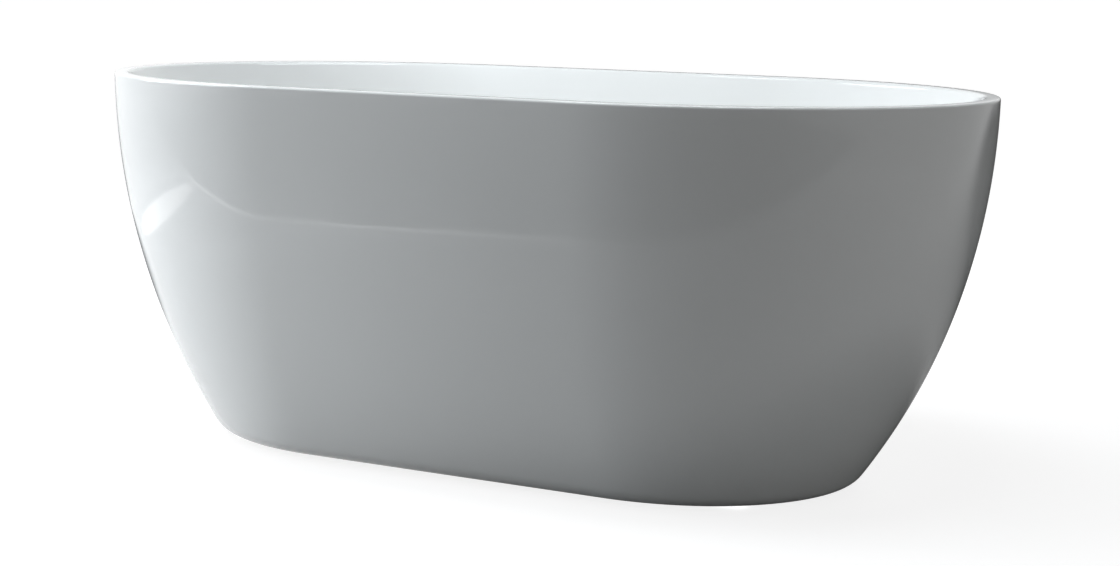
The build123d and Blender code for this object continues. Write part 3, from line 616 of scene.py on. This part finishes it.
class TUB_OT_basin(bpy.types.Operator):
    """Inner shell: rounded rim, leaning walls, floor with its sump, and the holes for the plumbing"""

    bl_idname = "tub.basin"
    bl_label = "Basin"

    def execute(self, context):
        shell = context.scene.tub_shell
        make_finishes(context.scene.tub_finish)
        straight = shell.straight_side
        floor_top = rim_top - shell.basin_depth
        leans = (shell.end_lean, shell.side_lean)
        halves = (half_length - shell.rim_width, half_width - shell.rim_width)

        def wall_half(axis, z, thick=0.0):
            angle = atan(leans[axis] / shell.basin_depth)
            return halves[axis] - leans[axis] * (rim_top - z) / shell.basin_depth + thick / cos(angle)

        def well_half(axis, z, thick, floor, rounding, lip):
            """Half size of a wall with its rounded lip above and its rounded floor edge below."""
            angle = atan(leans[axis] / shell.basin_depth)
            lip_z = rim_top - lip
            floor_z = floor + rounding
            if lip and z > lip_z + lip * sin(angle):
                reach = sqrt(max(0, lip**2 - (z - lip_z) ** 2))
                return wall_half(axis, lip_z, thick) + lip / cos(angle) - reach
            if z < floor_z - rounding * sin(angle):
                middle = wall_half(axis, floor_z, thick) - rounding / cos(angle)
                return middle + sqrt(max(0, rounding**2 - (floor_z - z) ** 2))
            return wall_half(axis, z, thick)

        def level(z, thick=0.0, floor=floor_top, rounding=shell.floor_round, lip=shell.lip_round):
            half_x, half_y = (well_half(axis, z, thick, floor, rounding, lip) for axis in (0, 1))
            return outline(half_x, half_y, z, straight)

        rim_round, lip, floor_round = shell.rim_round, shell.lip_round, shell.floor_round
        rim = [outline(half_length, half_width, z, straight) for z in (rim_under, rim_top - rim_round)]
        for a in range(10, 91, 10):
            inset = rim_round * (1 - cos(radians(a)))
            z = rim_top - rim_round * (1 - sin(radians(a)))
            rim.append(outline(half_length - inset, half_width - inset, z, straight))
        inside = [level(rim_top - lip * (1 - cos(radians(a)))) for a in range(0, 73, 6)]
        inside += [level(z) for z in even(rim_top - lip * 0.75, floor_top + floor_round, 40)]
        inside += [level(floor_top + floor_round * (1 - sin(radians(a)))) for a in range(5, 91, 5)]

        def toward(ring, radius, z, steps):
            """Rings over a flat floor from an oval to a circle."""
            goal = [Vector((p.x, p.y, 0)).normalized() * radius for p in ring]
            return [
                [
                    Vector((p.x + (g.x - p.x) * i / steps, p.y + (g.y - p.y) * i / steps, z))
                    for p, g in zip(ring, goal)
                ]
                for i in range(1, steps + 1)
            ]

        sump_edge = shell.sump_radius + shell.sump_slope
        sump_floor = basin_low.z + shell.basin_floor
        floor = toward(inside[-1], sump_edge, floor_top, 12)
        directions = [Vector((p.x, p.y, 0)).normalized() for p in inside[-1]]

        def ringed(radius, z):
            return [Vector((d.x * radius, d.y * radius, z)) for d in directions]

        sump = [
            ringed(sump_edge - 0.001, floor_top - 0.0004),
            ringed(shell.sump_radius + 0.001, sump_floor + 0.0005),
            ringed(shell.sump_radius - 0.001, sump_floor),
            ringed(shell.waste_hole, sump_floor),
        ]
        floor_under = floor_top - shell.basin_floor
        boss = shell.sump_radius + shell.sump_wall
        back_round = floor_round + shell.basin_wall
        under = [ringed(shell.waste_hole, basin_low.z), ringed(boss, basin_low.z), ringed(boss, floor_under)]
        heights = [floor_under + back_round * (1 - cos(radians(a))) for a in range(0, 91, 9)]
        heights += even(floor_under + back_round, rim_under, 16)[1:]
        back = [level(z, shell.basin_wall, floor_under, back_round, 0) for z in heights]
        under += list(reversed(toward(back[0], boss, floor_under, 8)[:-1]))
        rings = rim + inside + floor + sump + under + back
        shown = len(rim) + len(inside) + len(floor) + len(sump)
        bm = bmesh.new()
        skin_rings(bm, rings, [0] * shown + [1] * (len(rings) - shown), closed=True)
        piece = finish_mesh(bm, "basin_shell", ("acrylic", "fibreglass"), "tub", "basin")
        self.cut_overflow_hole(context, piece, shell)
        return {"FINISHED"}

    def cut_overflow_hole(self, context, piece, shell):
        """Bores the wall square to its slope, where the overflow insert goes through."""
        low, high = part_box("overflow_seal")
        lean = atan(shell.side_lean / shell.basin_depth)
        bm = bmesh.new()
        radius = shell.overflow_hole
        bmesh.ops.create_cone(bm, cap_ends=True, segments=64, radius1=radius, radius2=radius, depth=0.06)
        mesh = bpy.data.meshes.new("overflow_bore")
        bm.to_mesh(mesh)
        bm.free()
        cutter = bpy.data.objects.new("overflow_bore", mesh)
        context.scene.collection.objects.link(cutter)
        cutter.matrix_world = Matrix.Translation((low + high) / 2) @ Matrix.Rotation(pi / 2 - lean, 4, "X")
        bore = piece.modifiers.new("overflow_hole", "BOOLEAN")
        bore.operation, bore.object, bore.solver = "DIFFERENCE", cutter, "EXACT"
        context.view_layer.update()
        evaluated = piece.evaluated_get(context.evaluated_depsgraph_get())
        bored = bpy.data.meshes.new_from_object(evaluated)
        piece.modifiers.clear()
        piece.data = bored
        bpy.data.objects.remove(cutter)


class TUB_OT_frame(bpy.types.Operator):
    """Steel frame and base board: plated tubes with their weld beads, bent brackets, raw plywood"""

    bl_idname = "tub.frame"
    bl_label = "Frame"

    def execute(self, context):
        fit = context.scene.tub_fitting
        make_finishes(context.scene.tub_finish)
        for node in ("front_rail", "back_rail", "left_cross_tube", "right_cross_tube"):
            dress(node, "zinc")
        for corner in corners:
            dress(f"skirt_bracket_{corner}", "zinc")
        dress("base_board", "plywood")
        bm = bmesh.new()
        for node in ("left_cross_tube", "right_cross_tube"):
            low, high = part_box(node)
            for x in (low.x, high.x):
                for y in (low.y, high.y):
                    self.bead(bm, Matrix.Translation((x, y, 0)), low.z + 0.002, high.z - 0.002, fit.weld_size)
        finish_mesh(bm, "frame_welds", ("zinc",), "tub", None)
        return {"FINISHED"}

    def bead(self, bm, place, low, high, size):
        """A weld up the corner between two tubes, laid in small overlapping scales."""
        scales = 9
        rows = []
        for i in range(scales * 4 + 1):
            share = i / (scales * 4)
            taper = sqrt(max(0.04, sin(pi * share)))
            bulge = 0.82 + 0.18 * abs(sin(pi * scales * share))
            rows.append((size * taper * bulge, low + (high - low) * share))
        turned(bm, rows, place, steps=12, closed=False)


class TUB_OT_screws(bpy.types.Operator):
    """Pan-head screws of the base board and the brackets"""

    bl_idname = "tub.screws"
    bl_label = "Screws"

    def execute(self, context):
        fit = context.scene.tub_fitting
        make_finishes(context.scene.tub_finish)
        for node in ("board_screws", "bracket_rail_screws", "bracket_foot_screws"):
            bm = bmesh.new()
            for low, high in separate_boxes(node):
                middle = (low + high) / 2
                if node == "board_screws":
                    seat = Vector((middle.x, middle.y, low.z + fit.screw_head_height))
                    turn = Matrix.Rotation(pi, 4, "X")
                    self.screw(bm, Matrix.Translation(seat) @ turn, high.z - seat.z, fit)
                elif node == "bracket_foot_screws":
                    seat = Vector((middle.x, middle.y, high.z - fit.screw_head_height))
                    self.screw(bm, Matrix.Translation(seat), seat.z - low.z, fit)
                else:
                    side = 1 if middle.y > 0 else -1
                    outer = high.y if side > 0 else low.y
                    inner = low.y if side > 0 else high.y
                    seat = Vector((middle.x, outer - side * fit.screw_head_height, middle.z))
                    turn = Matrix.Rotation(-side * pi / 2, 4, "X")
                    self.screw(bm, Matrix.Translation(seat) @ turn, abs(seat.y - inner), fit)
            finish_mesh(bm, f"{node}_turned", ("zinc",), "tub", node)
        return {"FINISHED"}

    def screw(self, bm, place, length, fit):
        """One screw with its head up, a domed head and a six-lobed socket."""
        shank, head, tall = fit.screw_shank, fit.screw_head, fit.screw_head_height
        rows = [(shank * 0.6, -length)]
        rows += thread_rows(shank, shank * 0.22, fit.screw_pitch, 0.0006 - length, -0.0008)
        rows += [(shank, 0), (head * 0.96, 0), (head, tall * 0.1), (head, tall * 0.35)]
        for angle in (20, 40, 60, 80):
            a = radians(angle)
            rows.append((head * (0.55 + 0.45 * cos(a)), tall * (0.35 + 0.65 * sin(a))))
        for size, height in ((1.0, 1.0), (0.97, 0.9), (0.9, 0.35)):

            def socket(turn, size=size):
                return head * 0.42 * size * (1 + 0.16 * cos(6 * turn))

            rows.append((socket, tall * height))
        turned(bm, rows, place, steps=36, closed=False)


class TUB_OT_feet(bpy.types.Operator):
    """Four levelling feet: grooved sole, ribbed pad, threaded stud with its collar, and the nuts"""

    bl_idname = "tub.feet"
    bl_label = "Feet"

    def execute(self, context):
        fit = context.scene.tub_fitting
        make_finishes(context.scene.tub_finish)
        for corner in corners:
            self.sole(corner)
            self.pad(corner, fit)
            self.stud(corner, fit)
        for node in ("foot_weld_nuts", "foot_lock_nuts"):
            bm = bmesh.new()
            for low, high in separate_boxes(node):
                rows = hexagon_rows(fit.nut_flats, low.z, high.z)
                bore, edge = fit.nut_bore, 0.0006
                rows += [(bore + edge, high.z), (bore, high.z - edge)]
                rows += [(bore, low.z + edge), (bore + edge, low.z)]
                turned(bm, rows, upright((low, high)), steps=48)
            finish_mesh(bm, f"{node}_turned", ("zinc",), "tub", node)
        return {"FINISHED"}

    def sole(self, corner):
        """A rubber disc with ring grooves in its underside."""
        node = f"foot_sole_{corner}"
        low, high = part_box(node)
        radius, thick = (high.x - low.x) / 2, high.z - low.z
        edge, deep, spacing = 0.0006, 0.0008, 0.005
        rows = [(CORE, thick), (radius - edge, thick), (radius, thick - edge)]
        rows += [(radius, deep), (radius - deep, 0)]
        groove = radius - 0.0045
        while groove > spacing:
            rows += [(groove, 0), (groove - 0.0005, deep), (groove - 0.0015, deep), (groove - 0.002, 0)]
            groove -= spacing
        rows.append((CORE, 0))
        bm = bmesh.new()
        turned(bm, rows, upright((low, high), low.z), steps=72, closed=False)
        finish_mesh(bm, f"{node}_grooved", ("rubber",), f"foot_{corner}", node)

    def pad(self, corner, fit):
        """A moulded disc with a rounded edge, and a boss on ribs that holds the stud."""
        node = f"foot_pad_{corner}"
        low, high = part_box(node)
        radius, crest = (high.x - low.x) / 2, high.z - low.z
        top = crest - fit.boss_height
        boss, bore = fit.boss_radius, fit.nut_bore
        edge, bend, fillet, rim, lead = 0.0006, 0.002, 0.0015, 0.0008, 0.0005
        rows = [(CORE, 0), (radius - edge, 0), (radius, edge), (radius, top - bend)]
        rows += arc(radius - bend, top - bend, bend, 15, 90)
        rows += arc(boss + fillet, top + fillet, fillet, 270, 180)
        rows += [(boss, crest - rim), (boss - rim, crest), (bore + lead, crest), (bore, crest - lead)]
        rows += [(bore, fit.socket_floor), (CORE, fit.socket_floor)]
        place = upright((low, high), low.z)
        bm = bmesh.new()
        turned(bm, rows, place, steps=72, closed=False)
        for i in range(8):
            turn = place @ Matrix.Rotation(2 * pi * (i + 0.5) / 8, 4, "Z")
            self.rib(bm, turn, boss - 0.001, radius - 0.003, top, fit.boss_height * 0.7)
        finish_mesh(bm, f"{node}_ribbed", ("polyamide",), f"foot_{corner}", node)

    def rib(self, bm, place, start, end, base, tall):
        """A thin web from the boss down to the pad's edge."""
        half = 0.0009
        side = [(start, base - 0.001), (end, base - 0.001), (end, base + 0.0004), (start, base + tall)]
        loops = [[bm.verts.new(place @ Vector((x, y, z))) for x, z in side] for y in (-half, half)]
        bm.faces.new(loops[0])
        bm.faces.new(loops[1])
        for i in range(4):
            j = (i + 1) % 4
            bm.faces.new((loops[0][i], loops[0][j], loops[1][j], loops[1][i]))

    def stud(self, corner, fit):
        """A threaded stud with a hexagon to turn it by."""
        node = f"foot_stud_{corner}"
        low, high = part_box(node)
        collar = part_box(f"foot_pad_{corner}")[1].z + fit.collar_low
        radius = fit.stud_radius
        root = radius * 0.94
        rows = [(radius * 0.7, low.z), (root, low.z + 0.0012), (root, collar)]
        collar_top = collar + fit.collar_height
        rows += hexagon_rows(fit.nut_flats, collar, collar_top)
        rows += [(root, collar_top)]
        rows += thread_rows(radius, radius * 0.17, fit.stud_pitch, collar_top + 0.001, high.z - 0.001)
        rows += [(radius * 0.78, high.z)]
        bm = bmesh.new()
        turned(bm, rows, upright((low, high)), steps=36, closed=False)
        finish_mesh(bm, f"{node}_threaded", ("zinc",), f"screw_{corner}", node)


class TUB_OT_waste(bpy.types.Operator):
    """Click waste: dished chrome flange, seals, body, and the stopper on its sprung stem"""

    bl_idname = "tub.waste"
    bl_label = "Waste"

    def execute(self, context):
        fit = context.scene.tub_fitting
        make_finishes(context.scene.tub_finish)
        self.flange(fit)
        self.stopper(fit)
        self.spring(fit)
        for node in ("waste_top_seal", "waste_bottom_seal"):
            dress(node, "rubber")
        for node in ("waste_body", "stopper_guide"):
            dress(node, "plastic")
        return {"FINISHED"}

    def flange(self, fit):
        """A ring with a rounded lip, a dish inside it and a tail through the basin's floor."""
        low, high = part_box("waste_flange")
        radius, top, under = high.x, high.z, high.z - fit.lip_thick
        tail, bore, dish = fit.tail_radius, fit.tail_bore, radius - fit.dish_rim
        edge, bend, ease = 0.0004, 0.0012, 0.0008
        rows = [(bore, low.z), (tail, low.z), (tail, under), (radius - edge, under), (radius, under + edge)]
        rows += arc(radius - bend, top - bend, bend, 0, 90, 6)
        rows += [(dish + ease, top), (dish, top - 0.00006), (dish - ease, top - 0.0002)]
        rows += [(bore + 0.001, top - fit.dish_depth + 0.0001), (bore, top - fit.dish_depth - 0.0006)]
        bm = bmesh.new()
        turned(bm, rows, steps=96)
        finish_mesh(bm, "waste_flange_dished", ("chrome",), "tub", "waste_flange")

    def stopper(self, fit):
        """The domed cap, and the grooved stem under it."""
        low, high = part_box("stopper_cap")
        radius, shoulder = high.x, low.z + fit.cap_edge
        rise = high.z - shoulder
        dome = (radius**2 + rise**2) / (2 * rise)
        core, edge = 0.0003, 0.0004
        rows = [(core, low.z), (radius - 0.0005, low.z), (radius, low.z + edge), (radius, shoulder - 0.0006)]
        rows += [(radius - 0.00015, shoulder - 0.0002), (radius - 0.0006, shoulder + 0.00005)]
        for share in (0.96, 0.9, 0.8, 0.65, 0.5, 0.35, 0.2, 0.1):
            rows.append((radius * share, high.z - dome + sqrt(dome**2 - (radius * share) ** 2)))
        rows.append((core, high.z))
        bm = bmesh.new()
        turned(bm, rows, steps=96, closed=False)
        finish_mesh(bm, "stopper_cap_domed", ("chrome",), "stopper", "stopper_cap")

        low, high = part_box("stopper_stem")
        radius, bore, roof = high.x, fit.stem_bore, high.z - fit.stem_top
        deep = 0.0003
        rows = [(bore, low.z), (radius - edge, low.z), (radius, low.z + edge)]
        for groove in (0.3, 0.4, 0.5):
            z = low.z + (high.z - low.z) * groove
            rows += [(radius, z), (radius - deep, z + deep), (radius - deep, z + 0.001), (radius, z + 0.0013)]
        rows += [(radius, high.z), (CORE, high.z), (CORE, roof), (bore, roof)]
        bm = bmesh.new()
        turned(bm, rows, steps=64)
        finish_mesh(bm, "stopper_stem_turned", ("brass",), "stopper", "stopper_stem")
        dress("stopper_seal", "rubber")

    def spring(self, fit):
        """A coil with its end turns laid flat, stretched between the guide's floor and the stem's top."""
        low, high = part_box("stopper_spring")
        wire = fit.spring_wire
        radius, turns, steps = high.x - wire, 8, 28
        rings = []
        for i in range(turns * steps + 1):
            share = max(0, min(1, (i / steps - 0.8) / (turns - 1.6)))
            turn = 2 * pi * i / steps
            z = low.z + wire + (high.z - low.z - 2 * wire) * share
            out = Vector((cos(turn), sin(turn), 0))
            around = [2 * pi * k / 10 for k in range(10)]
            rings.append([out * (radius + wire * cos(a)) + Vector((0, 0, z + wire * sin(a))) for a in around])
        bm = bmesh.new()
        loops = skin_rings(bm, rings, [0] * len(rings))
        bm.faces.new(loops[0])
        bm.faces.new(loops[-1])
        piece = finish_mesh(bm, "stopper_spring_coil", ("zinc",), None, "stopper_spring")
        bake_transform(piece)


class TUB_OT_overflow(bpy.types.Operator):
    """Overflow: chrome cover on its insert, body behind the wall, pipe with its nuts and seals"""

    bl_idname = "tub.overflow"
    bl_label = "Overflow"

    def execute(self, context):
        make_finishes(context.scene.tub_finish)
        dress("overflow_cover", "chrome")
        for node in ("overflow_insert", "overflow_body", "overflow_pipe", "upper_pipe_nut", "lower_pipe_nut"):
            dress(node, "plastic")
        for node in ("overflow_seal", "upper_pipe_seal", "lower_pipe_seal"):
            dress(node, "rubber")
        return {"FINISHED"}


# Soft lamps: name, place, aim and size in metres, whether the light is cool, whether the gloss shows the lamp
LAMPS = (
    ("key", (-2.56, -1.14, 1.0), (-0.1, 0, 0.35), (1.9, 0.7), True, True),
    ("side", (-1.7, -0.3, 2.0), (0.2, 0, 0.3), (1.6, 0.5), True, True),
    ("top", (0.1, -0.4, 2.4), (0.1, -0.1, 0.3), (1.6, 0.5), True, True),
    ("fill", (2.9, -0.8, 0.75), (0.4, 0, 0.3), (1.45, 1.0), False, False),
    ("back", (0.1, 2.4, 1.3), (0, 0.2, 0.3), (1.8, 0.8), False, False),
    ("under", (0, 0, 0.002), (0, 0, 0.3), (0.9, 0.34), False, True),
    ("bounce", (-1.0, -1.0, 0.05), (-0.25, -0.25, 0.06), (1.1, 0.4), True, False),
)

# Glowing cards that only the gloss shows, painted reflections: name, place and size in metres, turn and tilt
# in degrees, level, softness.
# The far card and the side and line cards paint the bright reflected line and its wedge, the dark cards and
# the foot shade paint darker reflections at the tub's edges.
CARDS = (
    ("far_floor", (-0.86, -4.25, 0.001), (10, 6), -5, 0, 0.74, 0),
    ("paper_side", (-1.98, -0.35, 0.002), (0.44, 1.7), 0, 0, 2.8, 0.3),
    ("right_flag", (1.3, 3.6, 0.003), (3.6, 10), -15.6, 0, 0.0, 0.6),
    ("left_flag", (-1.8, 1.07, 0.005), (2.5, 0.85), 131.5, 0, 0.05, 0.5),
    ("back_flag", (-0.6, 1.5, 0.1), (4.9, 1.6), 0, 90, 0.05, 0.3),
    ("foot_shade", (0.38, 0.08, 0.004), (1.6, 1.1), 0, 0, 0.05, 0.5),
)


class TUB_OT_stage(bpy.types.Operator):
    """Pale floor with a painted shade by the tub, soft lamps, glowing cards that paint reflections in the
    gloss, and the camera
    """

    bl_idname = "tub.stage"
    bl_label = "Stage"

    def execute(self, context):
        stage = context.scene.tub_stage
        self.floor(stage)
        self.world(context, stage)
        for name, place, aim, size, cool, in_gloss in LAMPS:
            colour = stage.daylight if cool else (1, 1, 1)
            lamp = self.lamp(f"{name}_lamp", place, aim, size, getattr(stage, f"{name}_power"), colour)
            lamp.visible_glossy = in_gloss
        for card in CARDS:
            self.card(*card)
        # The bright line card: a painted reflection of a line on the floor
        self.card("paper_edge", (-1.3, -1.203, 0.002), (4.4, 0.04), -5, 0, stage.painted_line_glow, 0.8)
        self.camera(context, stage)
        context.scene.view_settings.view_transform = "Standard"
        return {"FINISHED"}

    def seen(self, owner):
        """One for rays that look at a surface, straight or in gloss and glass, nought for rays that light."""
        path = add_node(owner, "LightPath").node.outputs
        looks = {0: path["Is Camera Ray"], 1: path["Is Glossy Ray"]}
        gloss = add_node(owner, "Math", looks, operation="MAXIMUM")
        return add_node(owner, "Math", {0: gloss, 1: path["Is Transmission Ray"]}, operation="MAXIMUM")

    def plane(self, name, half, material):
        """A square of that half width, flat on the floor."""
        bm = bmesh.new()
        bmesh.ops.create_grid(bm, x_segments=1, y_segments=1, size=half)
        mesh = bpy.data.meshes.new(name)
        bm.to_mesh(mesh)
        bm.free()
        mesh.materials.append(material)
        plane = bpy.data.objects.new(name, mesh)
        bpy.context.scene.collection.objects.link(plane)
        return plane

    def floor(self, stage):
        """A floor that looks white, keeps the tub's shadow and throws little light back up. Its seen white
        dims towards the tub as a painted shade.
        """
        material, place = new_material("white_studio_floor")
        paper = add_node(material, "BsdfDiffuse", {"Color": rgba(stage.floor)})
        # Painted shade: the seen white rises from the near level by the tub to the far level further off
        away = add_node(material, "VectorMath", {0: place}, operation="LENGTH")
        painted_shade_whites = {"To Min": stage.shaded_near_white, "To Max": stage.far_white}
        spread = add_node(
            material,
            "MapRange",
            {"Value": away, "From Min": 0.8, "From Max": 3.0, **painted_shade_whites},
            interpolation_type="SMOOTHSTEP",
        )
        glow = add_node(material, "Math", {0: self.seen(material), 1: spread}, operation="MULTIPLY")
        white = add_node(material, "Emission", {"Color": (1, 1, 1, 1), "Strength": glow})
        lit = add_node(material, "AddShader", {0: paper, 1: white})
        below = add_node(material, "NewGeometry").node.outputs["Backfacing"]
        clear = add_node(material, "BsdfTransparent")
        both = add_node(material, "MixShader", {0: below, 1: lit, 2: clear})
        floor = self.plane("studio_floor", 40, close_material(material, both))

    def world(self, context, stage):
        """A room that looks white and gives hardly any light of its own."""
        world = bpy.data.worlds.new("studio_room")
        world.use_nodes = True
        background = world.node_tree.nodes["Background"]
        background.inputs["Color"].default_value = (1, 1, 1, 1)
        levels = {"To Min": stage.room_light, "To Max": 1.0}
        level = add_node(world, "MapRange", {"Value": self.seen(world), **levels})
        world.node_tree.links.new(level, background.inputs["Strength"])
        context.scene.world = world

    def card(self, name, place, size, turn, tilt, level, soft):
        """A bright or dark glowing card, flat or upright, that only shows in the gloss: a painted reflection.
        A soft one fades from its
        middle to an oval edge: its own coordinates run from -0.5 to 0.5."""
        material, spot = new_material(name)
        shader = add_node(material, "Emission", {"Color": (1, 1, 1, 1), "Strength": level})
        if soft:
            away = add_node(material, "VectorMath", {0: spot}, operation="LENGTH")
            fade = {"Value": away, "From Min": 0.5, "From Max": 0.5 - 0.5 * soft}
            edge = add_node(material, "MapRange", fade, interpolation_type="SMOOTHSTEP")
            clear = add_node(material, "BsdfTransparent")
            shader = add_node(material, "MixShader", {0: edge, 1: clear, 2: shader})
        card = self.plane(name, 0.5, close_material(material, shader))
        way = Matrix.Rotation(radians(turn), 3, "Z") @ Matrix.Rotation(radians(tilt), 3, "X")
        card.matrix_world = Matrix.LocRotScale(Vector(place), way, (*size, 1))
        # Seen only by glossy rays, so the card is a painted reflection
        card.visible_camera = card.visible_diffuse = card.visible_shadow = False

    def lamp(self, name, place, aim, size, power, colour):
        """A rectangle of light, out of the camera's sight."""
        data = bpy.data.lights.new(name, "AREA")
        data.shape = "RECTANGLE"
        data.size, data.size_y = size
        data.energy = power
        data.color = colour
        lamp = bpy.data.objects.new(name, data)
        lamp.location = place
        lamp.rotation_euler = (Vector(aim) - Vector(place)).to_track_quat("-Z", "Y").to_euler()
        lamp.visible_camera = False
        bpy.context.scene.collection.objects.link(lamp)
        return lamp

    def camera(self, context, stage):
        """The photograph's camera: its right-hand axis tilts up a little, and its frame is off centre."""
        data = bpy.data.cameras.new("camera")
        data.sensor_width = 36
        data.lens = stage.lens
        data.shift_x, data.shift_y = stage.shift_right, stage.shift_up
        camera = bpy.data.objects.new("camera", data)
        a, e, roll = stage.azimuth, stage.elevation, stage.roll
        back = Vector((sin(a) * cos(e), -cos(a) * cos(e), sin(e)))
        right = (-back).cross(Vector((0, 0, 1))).normalized()
        up = right.cross(-back)
        right, up = cos(roll) * right + sin(roll) * up, cos(roll) * up - sin(roll) * right
        turn = Matrix((right, up, back)).transposed().to_4x4()
        centre = Vector((0, 0, (cad_low.z + cad_high.z) / 2))
        camera.matrix_world = Matrix.Translation(centre + back * stage.distance) @ turn
        context.scene.collection.objects.link(camera)
        context.scene.camera = camera


class TUB_PT_build(bpy.types.Panel):
    """Lists the pieces to build and the settings they follow"""

    bl_label = "Bathtub"
    bl_idname = "TUB_PT_build"
    bl_space_type = "VIEW_3D"
    bl_region_type = "UI"
    bl_category = "Bathtub"

    def draw(self, context):
        for operator in operators:
            self.layout.operator(operator.bl_idname)
        for name, group in groups.items():
            box = self.layout.box()
            for setting in group.__annotations__:
                box.prop(getattr(context.scene, name), setting)


groups = {
    "tub_shell": TubShellSettings,
    "tub_fitting": TubFittingSettings,
    "tub_finish": TubFinishSettings,
    "tub_stage": TubStageSettings,
}
operators = (
    TUB_OT_skirt,
    TUB_OT_basin,
    TUB_OT_frame,
    TUB_OT_screws,
    TUB_OT_feet,
    TUB_OT_waste,
    TUB_OT_overflow,
    TUB_OT_stage,
)
classes = (*groups.values(), *operators, TUB_PT_build)


def register():
    for cls in classes:
        bpy.utils.register_class(cls)
    for name, group in groups.items():
        setattr(bpy.types.Scene, name, PointerProperty(type=group))


def unregister():
    for name in groups:
        delattr(bpy.types.Scene, name)
    for cls in reversed(classes):
        bpy.utils.unregister_class(cls)


def main():
    register()
    bpy.ops.tub.skirt()
    bpy.ops.tub.basin()
    bpy.ops.tub.frame()
    bpy.ops.tub.screws()
    bpy.ops.tub.feet()
    bpy.ops.tub.waste()
    bpy.ops.tub.overflow()
    bpy.ops.tub.stage()


if __name__ == "__main__":
    main()
